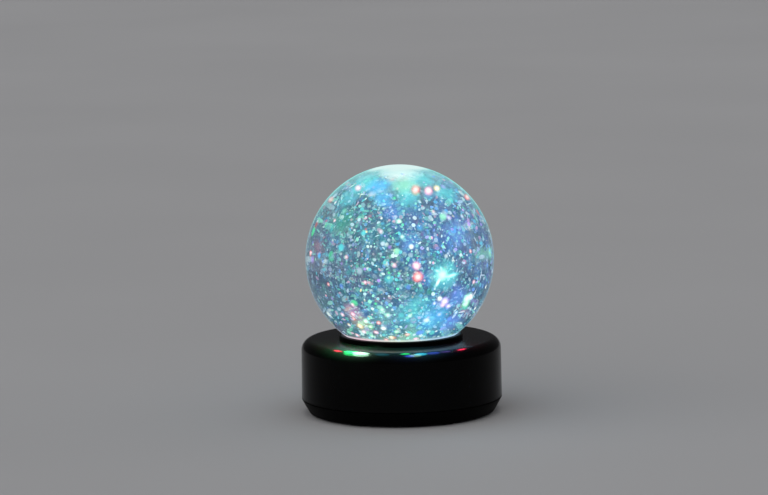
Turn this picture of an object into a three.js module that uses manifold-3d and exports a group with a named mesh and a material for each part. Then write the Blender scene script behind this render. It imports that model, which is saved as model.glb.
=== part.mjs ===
// A light-up disco ball: a clear ball filled with liquid and glitter, standing in a low round base.
// The base holds six lamps on a board, three battery cells, a slide switch and the leads between them.
// Millimetres, +Z up. The origin is on the floor, on the axis of the ball and the base.

import * as THREE from "three";
import { mergeVertices } from "three/addons/utils/BufferGeometryUtils.js";
import Module from "manifold-3d";

const wasm = await Module();
wasm.setup();

// Clearances and overruns
const fitGap = 0.3; // between pieces that touch or slide
const threadGap = 0.15; // between a screw's shank and its bore
const boreEnd = 0.4; // from a screw's tip to the end of its bore
const overrun = 1; // how far a cut or a joined piece runs past a face
const doorScrewRoom = 0.4; // between the door screw and its bore, which the opening door needs

// Ball
const globeDiameter = 100;
const globeWall = 2.5;
const globeSink = 7.9; // from the base's flat top down to the ball's lowest point
const neckRadius = 22;
const neckWall = 2.5;
const neckReach = 2.3; // from the ball's lowest point down to the neck's end
const plugRoof = 2.4;
const plugFlange = 2;
const plugWall = 2.6;
const flakeRadius = 0.95;
const flakeProud = 0.12; // of a glitter flake that lies against the ball's wall
const flakeMargin = 0.3; // from a flake to the edge of the liquid's face that it lies on
const flakeShare = 0.42; // of those faces that carry a flake
const sealThickness = 1;
const gasketThickness = 0.9;

// Base shell and collar ring
const waistDiameter = 106.4; // where the side meets the bottom cover
const sideDraft = 0.25; // how far the side leans in from the waist up to the soft shoulder
const shoulderRadius = 5.6;
const shellWall = 2.6;
const shellTopWall = 2.6;
const innerCorner = 3;
const collarRise = 2.6; // from the base's flat top up to the collar's top
const collarLip = 1.6; // width of the collar's top face
const collarEdge = 0.7; // rounding of the collar's top edge
const collarOverhang = 2; // how far the collar lies over the base's flat top
const collarDepth = 6.2; // from the base's flat top down to the collar's lower face
const ledgeThickness = 2.4;
const ledgeReach = 1; // from the neck out to the ledge's hole

// Bottom cover and feet
const rimChamfer = 3.6; // from the waist in to the edge of the cover's lower face
const rimHeight = 7.6; // of the cover's chamfered rim
const rimEdge = 0.8; // rounding of the cover's lower edge
const partingGap = 0.3; // the fine line between cover and shell
const coverThickness = 2.4;
const tongueHeight = 3; // of the ring that the shell's wall slips over
const tongueThickness = 1.6;
const rimInset = 1.6; // from the tongue's inside in to the cover's inner corner
const footProud = 0.8;
const footThickness = 1.8;
const footMargin = 1.4; // from a foot to the edge of the cover's lower face
const footDoorGap = 2.7; // from a foot to the door's opening
const footAngle = 60;

// Screws
const screwRadius = 1.35;
const screwHeadRadius = 2.5;
const screwHeadHeight = 1.8;
const crossWidth = 0.7;
const crossSpan = 3.2;
const crossDepth = 0.8;
const coverScrewLength = 10;
const collarScrewLength = 5.4;
const boardScrewLength = 5;
const boxScrewLength = 5.5;
const postRadius = 3.6;
const postAngle = 35;
const webThickness = 1.6;
const bossHeight = 2.8;
const bossWall = 1.6; // round a sunk screw head
const headSink = 3; // from the cover's lower face up to the screw heads' seat

// Battery cells, their box and their contacts
const cellRadius = 7.1;
const cellLength = 50.5;
const cellGap = 0.6;
const cellSideGap = 0.5;
const cellEdge = 0.7;
const nubRadius = 2.75;
const nubHeight = 1.2;
const boxWall = 1.6;
const boxRibDepth = 3;
const boxRibWidth = 1.4;
const boxEarOffset = 3.6; // from the box's end out to its screws
const boxEarRadius = 3.2;
const boxEarThickness = 2;
const boxBossHeight = 2.5;
const contactThickness = 0.5;
const contactWidth = 10;
const lugWidth = 3;
const lugReach = 3; // how far a lug stands out of the box
const lugRise = 4; // from the cells' axis up to a lug
const springLength = 5;
const springWire = 0.4; // radius
const springWideRadius = 4.4;
const springNarrowRadius = 2.8;
const springTurns = 3.5;

// Battery door
const doorThickness = 2;
const doorRibHeight = 0.8;
const doorRibWidth = 1.4;
const doorRibPlace = 15; // from the middle
const doorInset = 0.2; // from the box's inside to the opening's edge
const doorCorner = 2.5;
const hookPlace = 16; // from the middle
const hookWidth = 8;
const hookReach = 2.7;
const hookThickness = 1.2;
const hookFoot = 2; // of the riser that carries the hook
const hookNotch = 3.4; // height of the box's notch over a hook
const earHalfWidth = 5;
const earMargin = 3.8; // from the door screw to the ear's end
const doorScrewOffset = 4; // from the box's side out to the door screw
const doorScrewReach = 3; // how far the captive screw stands out of the ear
const doorHeadHeight = 1.1;
const doorHeadSink = 1.2;
const doorHeadRoom = 0.4; // round the captive screw's head
const earPadHeight = 2;
const earPadWall = 1.5;
const doorBossRadius = 3.4;

// Slide switch
const switchOffset = 9; // from the box's side out to the switch
const switchTravel = 3;
const pocketDepth = 1.8;
const pocketMargin = 0.7; // round the knob at both ends of its travel
const switchPadHeight = 1;
const switchPadMargin = 1.2;
const knobLength = 5;
const knobWidth = 4;
const knobThickness = 1.2;
const knobRibHeight = 0.3;
const knobRibWidth = 0.5;
const knobRibCount = 3;
const stemLength = 3;
const stemWidth = 2.4;
const stemHeight = 4;
const canHalfLength = 5.5;
const canHalfWidth = 2.75;
const canHeight = 4.3;
const canSlotRoom = 0.4; // above the stem's end
const flangeHalfLength = 9.5;
const flangeThickness = 0.5;
const stakePlace = 7.6;
const stakeRadius = 0.9;
const stakeHeadRadius = 1.5;
const stakeHeadHeight = 0.8;
const pinWidth = 0.8;
const pinHeight = 2.5;
const pinPitch = 3;

// Board, lamps and what sits with them
const boardClearance = 1; // from the battery box up to the board
const boardThickness = 1.6;
const boardScrewOffset = 5; // from the box's side out to the board screws
const boardMargin = 4.5; // from the board screws to the board's edge
const boardPostRadius = 3;
const ledReflectorGap = 1.1; // from the lamps' flanges out to the reflector
const ledRadius = 2.5;
const ledFlangeRadius = 2.9;
const ledFlangeHeight = 1;
const ledHeight = 8.6;
const ledHeadroom = 2.7; // from the lamps' tips up to the plug
const reflectorHeight = 3.4;
const reflectorOuterRadius = 19;
const reflectorLip = 1.5; // width of its top edge
const reflectorFoot = 5; // width of its lower face
const chipSize = { x: 5, y: 4, z: 1.5 };
const chipPlace = 25; // from the axis
const resistorSize = { x: 3.2, y: 1.6, z: 0.6 };
const resistorPlace = 26; // from the axis
const resistorAngle = 302;
const resistorSpread = 16;

// Leads
const leadRadius = 0.65;
const leadStandoff = 3.6; // how far a lead keeps from the board's edge
const leadStraight = 2.2; // straight stretch at each end of a lead
const leadArch = 5; // how high a lead rises over the board
const leadCornerShare = 0.35; // of the way from the box's corner out to the shell's wall
const padRadiusFromAxis = 29.5;
const switchPadAngle = 154;
const batteryPadAngle = 70;

// How finely round pieces are divided
const fine = 40;
const medium = 32;
const small = 16;
const tiny = 10;

const turn = (degrees) => THREE.MathUtils.degToRad(degrees);
const onCircle = (radius, degrees) => [radius * Math.cos(turn(degrees)), radius * Math.sin(turn(degrees))];

// Heights, from the floor up
const coverBottom = footProud;
const coverTop = coverBottom + coverThickness;
const partingHeight = coverBottom + rimHeight;
const doorTop = coverBottom + doorThickness;
const cellAxis = doorTop + doorRibHeight + fitGap + cellRadius;
const boxCeiling = cellAxis + cellRadius + fitGap;
const boxTop = boxCeiling + boxWall;
const boardBottom = boxTop + boardClearance;
const boardTop = boardBottom + boardThickness;
const plugBottom = boardTop + reflectorHeight + fitGap;
const plugFlangeTop = plugBottom + plugFlange;
const neckBottom = plugFlangeTop + sealThickness;
const plugHollowTop = boardTop + ledHeight + ledHeadroom;
const plugTop = plugHollowTop + plugRoof;
const globeRadius = globeDiameter / 2;
const globeHeight = neckBottom + neckReach + globeRadius;
const baseTop = globeHeight - globeRadius + globeSink;
const shellCeiling = baseTop - shellTopWall;
const collarTop = baseTop + collarRise;
const collarBottom = baseTop - collarDepth;
const ledgeTop = collarBottom - fitGap;
const ledgeBottom = ledgeTop - ledgeThickness;

// Radii
const innerGlobeRadius = globeRadius - globeWall;
const neckBore = neckRadius - neckWall;
const plugRadius = neckBore - fitGap;
const plugHollowRadius = plugRadius - plugWall;
const clearGlobeRadius = globeRadius + fitGap; // the nearest surface that another piece may have
const seatRadius = clearGlobeRadius + gasketThickness + fitGap;
const collarBore = neckRadius + 2 * fitGap;
const lipRadius = Math.sqrt(clearGlobeRadius ** 2 - (globeHeight - collarTop) ** 2);
const collarRadius = lipRadius + collarLip;
const spigotRadius = collarRadius - collarOverhang;
const holeRadius = spigotRadius + fitGap;
const ledgeHole = neckRadius + ledgeReach;
const waistRadius = waistDiameter / 2;
const topRadius = waistRadius - sideDraft;
const shellBore = topRadius - shellWall;
const tongueOuter = shellBore - fitGap;
const tongueInner = tongueOuter - tongueThickness;
const footFaceRadius = waistRadius - rimChamfer;
const collarScrewCircle = (ledgeHole + spigotRadius) / 2;
const postCircle = tongueInner - postRadius - fitGap;
const ledCircle = reflectorOuterRadius - reflectorFoot - ledReflectorGap - ledFlangeRadius;

// Places in the battery bay
const cellPitch = 2 * cellRadius + cellGap;
const boxInnerX = cellPitch + cellRadius + cellSideGap;
const boxOuterX = boxInnerX + boxWall;
const contactSpace = fitGap + contactThickness + fitGap;
const boxInnerY = (contactSpace + cellLength + fitGap + springLength + contactSpace) / 2;
const boxOuterY = boxInnerY + boxWall;
const openingX = boxInnerX - doorInset;
const openingY = boxInnerY - doorInset;
const footRise = Math.sin(turn(footAngle));
const footReach = footFaceRadius - footMargin;
// A foot fills the room between the door's opening and the cover's edge
const footRadius = (footReach * footRise - openingY - footDoorGap) / (1 + footRise);
const footCircle = footReach - footRadius;
const doorX = openingX - fitGap;
const doorY = openingY - fitGap;
const doorScrewX = boxOuterX + doorScrewOffset;
const switchX = -(boxOuterX + switchOffset);
const boardScrewX = boxOuterX + boardScrewOffset;
const boardRadius = boardScrewX + boardMargin;
const lugHeight = cellAxis + lugRise;
const lugEnd = boxOuterY + lugReach;
const bayCornerRadius = Math.hypot(boxOuterX, boxOuterY);

// Solids from geometry and back
function solidOf(geometry) {
  const bare = geometry.clone();
  bare.deleteAttribute("normal");
  bare.deleteAttribute("uv");
  const merged = mergeVertices(bare);
  return new wasm.Manifold(
    new wasm.Mesh({
      numProp: 3,
      vertProperties: merged.attributes.position.array,
      triVerts: new Uint32Array(merged.index.array),
    }),
  );
}

function geometryOf(solid) {
  const { vertProperties, triVerts } = solid.getMesh();
  const geometry = new THREE.BufferGeometry();
  geometry.setAttribute("position", new THREE.BufferAttribute(vertProperties, 3));
  geometry.setIndex(new THREE.BufferAttribute(triVerts, 1));
  const flat = geometry.toNonIndexed();
  flat.computeVertexNormals();
  return flat;
}

// The first geometry with others joined to it and then with others cut out of it
function shaped(geometry, { joined = [], cut = [] }) {
  let solid = solidOf(geometry);
  for (const piece of joined) solid = solid.add(solidOf(piece));
  for (const piece of cut) solid = solid.subtract(solidOf(piece));
  return geometryOf(solid);
}

// Twice the area inside an outline, above zero where it runs anticlockwise
const windingOf = (outline) =>
  outline.reduce((sum, [x0, y0], i) => {
    const [x1, y1] = outline[(i + 1) % outline.length];
    return sum + x0 * y1 - x1 * y0;
  }, 0);

// A piece turned round the Z axis, from an outline of radius and height that may run either way round
function turned(outline, sides) {
  const ordered = windingOf(outline) > 0 ? outline : [...outline].reverse();
  const points = ordered.map(([radius, height]) => new THREE.Vector2(radius, height));
  return new THREE.LatheGeometry(points, sides).rotateX(Math.PI / 2);
}

function rod(radius, low, high, sides, x = 0, y = 0) {
  const rodHeight = high - low;
  return new THREE.CylinderGeometry(radius, radius, rodHeight, sides)
    .rotateX(Math.PI / 2)
    .translate(x, y, low + rodHeight / 2);
}

function block([x0, x1], [y0, y1], [z0, z1]) {
  return new THREE.BoxGeometry(x1 - x0, y1 - y0, z1 - z0).translate(
    (x0 + x1) / 2,
    (y0 + y1) / 2,
    (z0 + z1) / 2,
  );
}

const spread = (centre, half) => [centre - half, centre + half];

// A flat plate with round corners
function plate(halfX, halfY, corner, low, high) {
  const outline = new THREE.Shape();
  outline.absarc(halfX - corner, halfY - corner, corner, 0, Math.PI / 2);
  outline.absarc(corner - halfX, halfY - corner, corner, Math.PI / 2, Math.PI);
  outline.absarc(corner - halfX, corner - halfY, corner, Math.PI, 1.5 * Math.PI);
  outline.absarc(halfX - corner, corner - halfY, corner, 1.5 * Math.PI, 2 * Math.PI);
  const settings = { depth: high - low, bevelEnabled: false, curveSegments: 4 };
  return new THREE.ExtrudeGeometry(outline, settings).translate(0, 0, low);
}

// A round wire along a curve
function wire(curve, radius, sides, steps) {
  const section = new THREE.Shape();
  section.absarc(0, 0, radius, 0, 2 * Math.PI);
  return new THREE.ExtrudeGeometry(section, {
    extrudePath: curve,
    steps,
    curveSegments: sides,
    bevelEnabled: false,
  });
}

// Points of an arc in the outline plane, from one angle to the other, in degrees
function arc(centreRadius, centreHeight, radius, from, to, steps) {
  return Array.from({ length: steps + 1 }, (_, i) => {
    const [across, up] = onCircle(radius, from + ((to - from) * i) / steps);
    return [centreRadius + across, centreHeight + up];
  });
}

// Angle below the ball's level at which a sphere round its centre has a given radius from the axis
const dipAt = (sphere, radius) => -THREE.MathUtils.radToDeg(Math.acos(radius / sphere));
const globeArc = (sphere, from, to, steps) => arc(0, globeHeight, sphere, from, to, steps);
const nearAxis = 1e-6;
const onAxis = (outline) =>
  outline.map(([radius, height]) => [Math.abs(radius) < nearAxis ? 0 : radius, height]);

const material = (color, roughness, metalness = 0, extra = {}) => ({ color, roughness, metalness, ...extra });
const finishes = {
  blackPlastic: material(0x0a0a0b, 0.4),
  collarPlastic: material(0x070708, 0.3),
  clearPlastic: material(0xdfeef0, 0.06, 0, { transparent: true, opacity: 0.25 }),
  liquid: material(0x9fd8dc, 0.05, 0, { transparent: true, opacity: 0.5 }),
  rubber: material(0x17171a, 0.85),
  silicone: material(0xd9d9d6, 0.6),
  steel: material(0xb9bcc0, 0.35, 1),
  spring: material(0xc4c7ca, 0.28, 1),
  board: material(0x0f5a34, 0.45),
  chip: material(0x141416, 0.5),
  resistor: material(0x1c1c22, 0.5),
  reflector: material(0xf2f2ee, 0.5),
  redLed: material(0xd8201c, 0.12),
  greenLed: material(0x22c24a, 0.12),
  blueLed: material(0x2a4be0, 0.12),
  cell: material(0x2c6a78, 0.35, 0.2),
  redLead: material(0xb3211c, 0.5),
  blackLead: material(0x161618, 0.5),
  knob: material(0xe8e8e4, 0.45),
};

const discoBall = new THREE.Group();
discoBall.name = "light_up_disco_ball";

function place(group, name, geometry, finish) {
  const mesh = new THREE.Mesh(geometry, new THREE.MeshStandardMaterial(finishes[finish]));
  mesh.name = name;
  group.add(mesh);
  return mesh;
}

function groupAt(parent, x, y, z) {
  const group = new THREE.Group();
  group.position.set(x, y, z);
  parent.add(group);
  return group;
}

// A pan-head screw that stands head down with its seat at height zero
function screwGeometry(length, headHeight) {
  const head = rod(screwHeadRadius, -headHeight, 0, small);
  const shank = rod(screwRadius, -headHeight / 2, length, tiny);
  const sunk = -headHeight + Math.min(crossDepth, headHeight / 2);
  const slots = [0, Math.PI / 2].map((angle) =>
    block(spread(0, crossSpan / 2), spread(0, crossWidth / 2), [-headHeight - overrun, sunk]).rotateZ(angle),
  );
  return shaped(head, { joined: [shank], cut: slots });
}

const boreFor = (length, seat, x, y, gap = threadGap) =>
  rod(screwRadius + gap, seat - overrun, seat + length + boreEnd, small, x, y);

function addScrew(group, name, length, [x, y], seat, { headHeight = screwHeadHeight, up = true } = {}) {
  const screw = place(groupAt(group, x, y, seat), name, screwGeometry(length, headHeight), "steel");
  if (!up) screw.rotation.x = Math.PI;
}

// Where the screws and feet stand
const aroundBothWays = (angle) => [angle, 180 - angle, 180 + angle, -angle];
const postPlaces = aroundBothWays(postAngle).map((angle) => onCircle(postCircle, angle));
const footPlaces = aroundBothWays(footAngle).map((angle) => onCircle(footCircle, angle));
const collarScrewPlaces = [90, 210, 330].map((angle) => onCircle(collarScrewCircle, angle));
const boardScrewPlaces = [-1, 1].map((side) => [side * boardScrewX, 0]);
const boxScrewPlaces = [-1, 1].map((side) => [0, side * (boxOuterY + boxEarOffset)]);
const coverHeadSeat = coverBottom + headSink;
const coverBossTop = coverTop + bossHeight;
const boxEarBottom = coverTop + boxBossHeight;

// The ball: one clear wall with an open neck
function globeShell() {
  const outer = globeArc(globeRadius, 90, dipAt(globeRadius, neckRadius), 18);
  const inner = globeArc(innerGlobeRadius, dipAt(innerGlobeRadius, neckBore), 90, 10);
  const neckEnd = [
    [neckRadius, neckBottom],
    [neckBore, neckBottom],
  ];
  return turned(onAxis([...outer, ...neckEnd, ...inner]), fine);
}

// Six-sided flakes scattered over the flat faces of a piece turned from an outline, one at most on each
function flakesOn(outline, sides) {
  const random = THREE.MathUtils.seededRandom;
  random(5);
  const corner = ([radius, height], step) => {
    const [x, y] = onCircle(radius, (360 * step) / sides - 90);
    return new THREE.Vector3(x, y, height);
  };
  const upright = new THREE.Vector3(0, 1, 0);
  const flakes = [];
  for (let ring = 0; ring < outline.length - 1; ring += 1) {
    for (let step = 0; step < sides; step += 1) {
      const [upLeft, upRight] = [step, step + 1].map((place) => corner(outline[ring], place));
      const [downLeft, downRight] = [step, step + 1].map((place) => corner(outline[ring + 1], place));
      const [across, down, spin, chosen] = [random(), random(), random(), random()];
      const left = upLeft.clone().lerp(downLeft, down);
      const right = upRight.clone().lerp(downRight, down);
      const room = (flakeRadius + flakeMargin) / left.distanceTo(right);
      const fallRoom = (flakeRadius + flakeMargin) / upLeft.distanceTo(downLeft);
      if (room > 0.5 || down < fallRoom || down > 1 - fallRoom || chosen > flakeShare) continue;
      const normal = downRight.clone().sub(upLeft).cross(upRight.clone().sub(downLeft)).normalize();
      const turning = new THREE.Quaternion().setFromUnitVectors(upright, normal);
      const spot = left.lerp(right, THREE.MathUtils.lerp(room, 1 - room, across));
      const flake = new THREE.CylinderGeometry(flakeRadius, flakeRadius, 2 * flakeProud, 6);
      flakes.push(flake.rotateY(turn(360 * spin)).applyQuaternion(turning).translate(...spot));
    }
  }
  return flakes;
}

// The liquid, with the flakes that lie against the ball's wall
function liquidFill() {
  const liquidRadius = innerGlobeRadius - fitGap;
  const neckOfLiquid = neckBore - fitGap;
  const floor = plugTop + fitGap;
  const round = onAxis(globeArc(liquidRadius, 90, dipAt(liquidRadius, neckOfLiquid), 10));
  const body = turned([...round, [neckOfLiquid, floor], [0, floor]], medium);
  return shaped(body, { joined: flakesOn(round, medium) });
}

// Clear stopper: a cup, mouth down, with a flange that closes on the neck's end
function globePlug() {
  return turned(
    [
      [0, plugTop],
      [plugRadius, plugTop],
      [plugRadius, plugFlangeTop],
      [neckRadius, plugFlangeTop],
      [neckRadius, plugBottom],
      [plugHollowRadius, plugBottom],
      [plugHollowRadius, plugHollowTop],
      [0, plugHollowTop],
    ],
    medium,
  );
}

const flatRing = (inner, outer, low, high, sides) =>
  turned([[inner, low], [inner, high], [outer, high], [outer, low], [inner, low]], sides);

// The seat for the ball: angles below level, from the collar's bore out to its lip
const boreDip = dipAt(clearGlobeRadius, collarBore);
const lipDip = dipAt(clearGlobeRadius, lipRadius);
const seatDip = (share) => boreDip + (lipDip - boreDip) * share;
const grooveShares = [0.16, 0.66];
const gasketShares = [0.2, 0.62];

function globeGasket() {
  const [low, high] = gasketShares.map(seatDip);
  const inner = globeArc(clearGlobeRadius, low, high, 3);
  const outer = globeArc(clearGlobeRadius + gasketThickness, high, low, 3);
  return turned([...inner, ...outer, inner[0]], medium);
}

function collarRing() {
  const [low, high] = grooveShares.map(seatDip);
  const outline = [
    ...arc(collarRadius - collarEdge, collarTop - collarEdge, collarEdge, 90, 0, 3),
    [collarRadius, baseTop],
    [spigotRadius, baseTop],
    [spigotRadius, collarBottom],
    [collarBore, collarBottom],
    ...globeArc(clearGlobeRadius, boreDip, low, 1),
    ...globeArc(seatRadius, low, high, 3),
    ...globeArc(clearGlobeRadius, high, lipDip, 3),
  ];
  const bores = collarScrewPlaces.map(([x, y]) => boreFor(collarScrewLength, ledgeBottom, x, y));
  return shaped(turned([...outline, outline[0]], fine), { cut: bores });
}

function baseShell() {
  const outline = [
    [waistRadius, partingHeight + partingGap / 2],
    [shellBore, partingHeight + partingGap / 2],
    ...arc(shellBore - innerCorner, shellCeiling - innerCorner, innerCorner, 0, 90, 3),
    [holeRadius + shellWall, shellCeiling],
    [holeRadius + shellWall, ledgeBottom],
    [ledgeHole, ledgeBottom],
    [ledgeHole, ledgeTop],
    [holeRadius, ledgeTop],
    [holeRadius, baseTop],
    ...arc(topRadius - shoulderRadius, baseTop - shoulderRadius, shoulderRadius, 90, 0, 6),
  ];
  const webBottom = partingHeight + tongueHeight + overrun;
  const postTop = boardBottom - fitGap;
  const posts = postPlaces.map(([x, y]) => rod(postRadius, coverBossTop + fitGap, postTop, small, x, y));
  const webReach = [postCircle, shellBore + shellWall / 2];
  const webs = aroundBothWays(postAngle).map((angle) =>
    block(webReach, spread(0, webThickness / 2), [webBottom, postTop]).rotateZ(turn(angle)),
  );
  const boardPosts = boardScrewPlaces.map(([x, y]) =>
    rod(boardPostRadius, boardTop, shellCeiling + shellTopWall / 2, small, x, y),
  );
  const collarRoom = rod(holeRadius, ledgeTop, baseTop + overrun, fine);
  const bores = [
    ...postPlaces.map(([x, y]) => boreFor(coverScrewLength, coverHeadSeat, x, y)),
    ...boardScrewPlaces.map(([x, y]) => boreFor(boardScrewLength, boardBottom, x, y)),
    ...collarScrewPlaces.map(([x, y]) => boreFor(collarScrewLength, ledgeBottom, x, y)),
  ];
  return shaped(turned([...outline, outline[0]], fine), {
    joined: [...posts, ...webs, ...boardPosts],
    cut: [collarRoom, ...bores],
  });
}

// Where the door's ear lies in the cover
const earEnd = doorScrewX + earMargin;
const earRecessEnd = earEnd + fitGap;
const earRecessTop = doorTop + fitGap;
const doorBossTop = doorTop + doorScrewReach + boreEnd + earPadWall;
const headRoomRadius = screwHeadRadius + fitGap;
const switchPadTop = coverTop + switchPadHeight;
const pocketTop = coverBottom + pocketDepth;
const slotHalfLength = (switchTravel + stemLength) / 2 + fitGap;
const slotHalfWidth = stemWidth / 2 + fitGap;
const stakeHeadBottom = switchPadTop + flangeThickness + fitGap;

// What stands up from the cover's inside, joined to its turned disc
function coverBosses() {
  const screwBosses = postPlaces.map(([x, y]) =>
    rod(headRoomRadius + bossWall, coverTop - overrun, coverBossTop, small, x, y),
  );
  const boxBosses = boxScrewPlaces.map(([x, y]) =>
    rod(boxEarRadius, coverTop - overrun, boxEarBottom, small, x, y),
  );
  const earPad = block(
    [boxOuterX + fitGap, earRecessEnd + earPadWall],
    spread(0, earHalfWidth + fitGap + earPadWall),
    [coverTop - overrun, coverTop + earPadHeight],
  );
  const doorBoss = rod(doorBossRadius, coverTop - overrun, doorBossTop, small, doorScrewX, 0);
  const switchPad = block(
    spread(switchX, canHalfWidth + switchPadMargin),
    spread(0, flangeHalfLength + switchPadMargin),
    [coverTop - overrun, switchPadTop],
  );
  const stakes = [-stakePlace, stakePlace].flatMap((y) => [
    rod(stakeRadius, coverTop - overrun, stakeHeadBottom + stakeHeadHeight / 2, tiny, switchX, y),
    rod(stakeHeadRadius, stakeHeadBottom, stakeHeadBottom + stakeHeadHeight, tiny, switchX, y),
  ]);
  return [...screwBosses, ...boxBosses, earPad, doorBoss, switchPad, ...stakes];
}

function coverCuts() {
  const below = coverBottom - overrun;
  const heads = postPlaces.map(([x, y]) => rod(headRoomRadius, below, coverHeadSeat, small, x, y));
  const shanks = postPlaces.map(([x, y]) =>
    rod(screwRadius + fitGap, below, coverBossTop + overrun, tiny, x, y),
  );
  const feet = footPlaces.map(([x, y]) => rod(footRadius + fitGap, below, footThickness, small, x, y));
  const opening = plate(openingX, openingY, doorCorner, below, coverTop + overrun);
  const earWay = block(
    [openingX - overrun, boxOuterX + fitGap],
    spread(0, earHalfWidth + fitGap),
    [below, coverTop + overrun],
  );
  const earRecess = block(
    [boxOuterX, earRecessEnd],
    spread(0, earHalfWidth + fitGap),
    [below, earRecessTop],
  );
  const doorBore = rod(
    screwRadius + doorScrewRoom,
    below,
    doorTop + doorScrewReach + boreEnd,
    small,
    doorScrewX,
    0,
  );
  const boxBores = boxScrewPlaces.map(([x, y]) =>
    rod(
      screwRadius + threadGap,
      boxEarBottom + boxEarThickness - boxScrewLength - boreEnd,
      boxEarBottom + overrun,
      tiny,
      x,
      y,
    ),
  );
  const pocket = block(
    spread(switchX, knobWidth / 2 + pocketMargin),
    spread(0, (switchTravel + knobLength) / 2 + pocketMargin),
    [below, pocketTop],
  );
  const slotSpan = [below, switchPadTop + overrun];
  const slot = block(spread(switchX, slotHalfWidth), spread(0, slotHalfLength), slotSpan);
  return [...heads, ...shanks, ...feet, opening, earWay, earRecess, doorBore, ...boxBores, pocket, slot];
}

function bottomCover() {
  const rimTop = partingHeight - partingGap / 2;
  const chamferSlope = THREE.MathUtils.radToDeg(Math.atan2(rimHeight, rimChamfer));
  const outline = [
    [0, coverTop],
    [0, coverBottom],
    ...arc(footFaceRadius - rimEdge, coverBottom + rimEdge, rimEdge, -90, chamferSlope - 90, 2),
    [waistRadius, rimTop],
    [tongueOuter, rimTop],
    [tongueOuter, partingHeight + tongueHeight],
    [tongueInner, partingHeight + tongueHeight],
    [tongueInner, coverTop + rimInset],
    [tongueInner - rimInset, coverTop],
    [0, coverTop],
  ];
  return shaped(turned(outline, fine), { joined: coverBosses(), cut: coverCuts() });
}

// Plate in the cover's opening, with two hooks at one side and an ear for the captive screw at the other
function batteryDoor() {
  const low = coverBottom;
  const hookBottom = coverTop + fitGap;
  const hookTop = hookBottom + hookThickness;
  const hooks = [-hookPlace, hookPlace].flatMap((y) => {
    const acrossHook = spread(y, hookWidth / 2);
    return [
      block([-doorX, -doorX + hookFoot], acrossHook, [doorTop - overrun, hookTop]),
      block([-openingX - hookReach, -doorX + hookFoot], acrossHook, [hookBottom, hookTop]),
    ];
  });
  const ribSpan = [doorTop - overrun, doorTop + doorRibHeight];
  const ribs = [-doorRibPlace, doorRibPlace].map((y) =>
    block(spread(0, cellPitch + nubRadius), spread(y, doorRibWidth / 2), ribSpan),
  );
  const ear = block([doorX - overrun, earEnd], spread(0, earHalfWidth), [low, doorTop]);
  const seat = low + doorHeadSink;
  const headRoom = rod(screwHeadRadius + doorHeadRoom, low - overrun, seat, small, doorScrewX, 0);
  const shankHole = rod(screwRadius + threadGap, low, doorTop + overrun, tiny, doorScrewX, 0);
  return shaped(plate(doorX, doorY, doorCorner - fitGap, low, doorTop), {
    joined: [...hooks, ...ribs, ear],
    cut: [headRoom, shankHole],
  });
}

const footPad = () => rod(footRadius, 0, footThickness, small);

// Open-bottomed box with a slot for each end contact's lug and a notch over each door hook
function batteryBox() {
  const body = block(spread(0, boxOuterX), spread(0, boxOuterY), [coverTop, boxTop]);
  const bay = block(spread(0, boxInnerX), spread(0, boxInnerY), [coverTop - overrun, boxCeiling]);
  const ears = boxScrewPlaces.flatMap(([x, y]) => {
    const reach = y > 0 ? [boxOuterY - boxWall / 2, y] : [y, boxWall / 2 - boxOuterY];
    const earSpan = [boxEarBottom, boxEarBottom + boxEarThickness];
    return [rod(boxEarRadius, ...earSpan, small, x, y), block(spread(x, boxEarRadius), reach, earSpan)];
  });
  const earHoles = boxScrewPlaces.map(([x, y]) =>
    rod(screwRadius + threadGap, boxEarBottom - overrun, boxTop, tiny, x, y),
  );
  const notches = [-hookPlace, hookPlace].map((y) =>
    block(
      [-boxOuterX - overrun, -boxInnerX + overrun],
      spread(y, hookWidth / 2 + fitGap),
      [coverTop - overrun, coverTop + hookNotch],
    ),
  );
  const lugSlots = [-1, 1].map((side) =>
    block(
      spread(side * cellPitch, lugWidth / 2 + fitGap),
      spread(side * (boxInnerY + boxWall / 2), boxWall),
      spread(lugHeight, contactThickness / 2 + fitGap),
    ),
  );
  const shell = shaped(body, { joined: ears, cut: [bay, ...earHoles, ...notches, ...lugSlots] });
  const ribs = [-0.5, 0.5].map((share) =>
    block(
      spread(share * cellPitch, boxRibWidth / 2),
      spread(0, cellLength / 2),
      [boxCeiling - boxRibDepth, boxCeiling + boxWall / 2],
    ),
  );
  return shaped(shell, { joined: ribs });
}

// A cell along Y, its plus end towards -Y, its middle at the origin
function batteryCell() {
  const half = cellLength / 2;
  const shoulder = half - nubHeight;
  const outline = [
    [0, half],
    [nubRadius, half],
    [nubRadius, shoulder],
    [cellRadius - cellEdge, shoulder],
    [cellRadius, shoulder - cellEdge],
    [cellRadius, cellEdge - half],
    [cellRadius - cellEdge, -half],
    [0, -half],
  ];
  return turned(outline, medium).rotateX(Math.PI / 2);
}

class SpringCurve extends THREE.Curve {
  getPoint(share, point = new THREE.Vector3()) {
    const radius = THREE.MathUtils.lerp(springWideRadius, springNarrowRadius, share);
    const angle = share * springTurns * 2 * Math.PI;
    const along = THREE.MathUtils.lerp(springWire, springLength - springWire, share);
    return point.set(radius * Math.cos(angle), -along, radius * Math.sin(angle));
  }
}

// A flat contact, and the lug that an end contact has through the box's wall
const contactPlate = (halfWidth) =>
  block(spread(0, halfWidth), spread(0, contactThickness / 2), spread(0, contactWidth / 2));

function endContact() {
  const lug = block(
    spread(0, lugWidth / 2),
    [0, lugEnd - contactPlace],
    spread(lugRise, contactThickness / 2),
  );
  return shaped(contactPlate(contactWidth / 2), { joined: [lug] });
}

const contactPlace = boxInnerY - fitGap - contactThickness / 2;
const springPlace = boxInnerY - contactSpace;
const cellPlace = boxInnerY - contactSpace - cellLength / 2;

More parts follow.
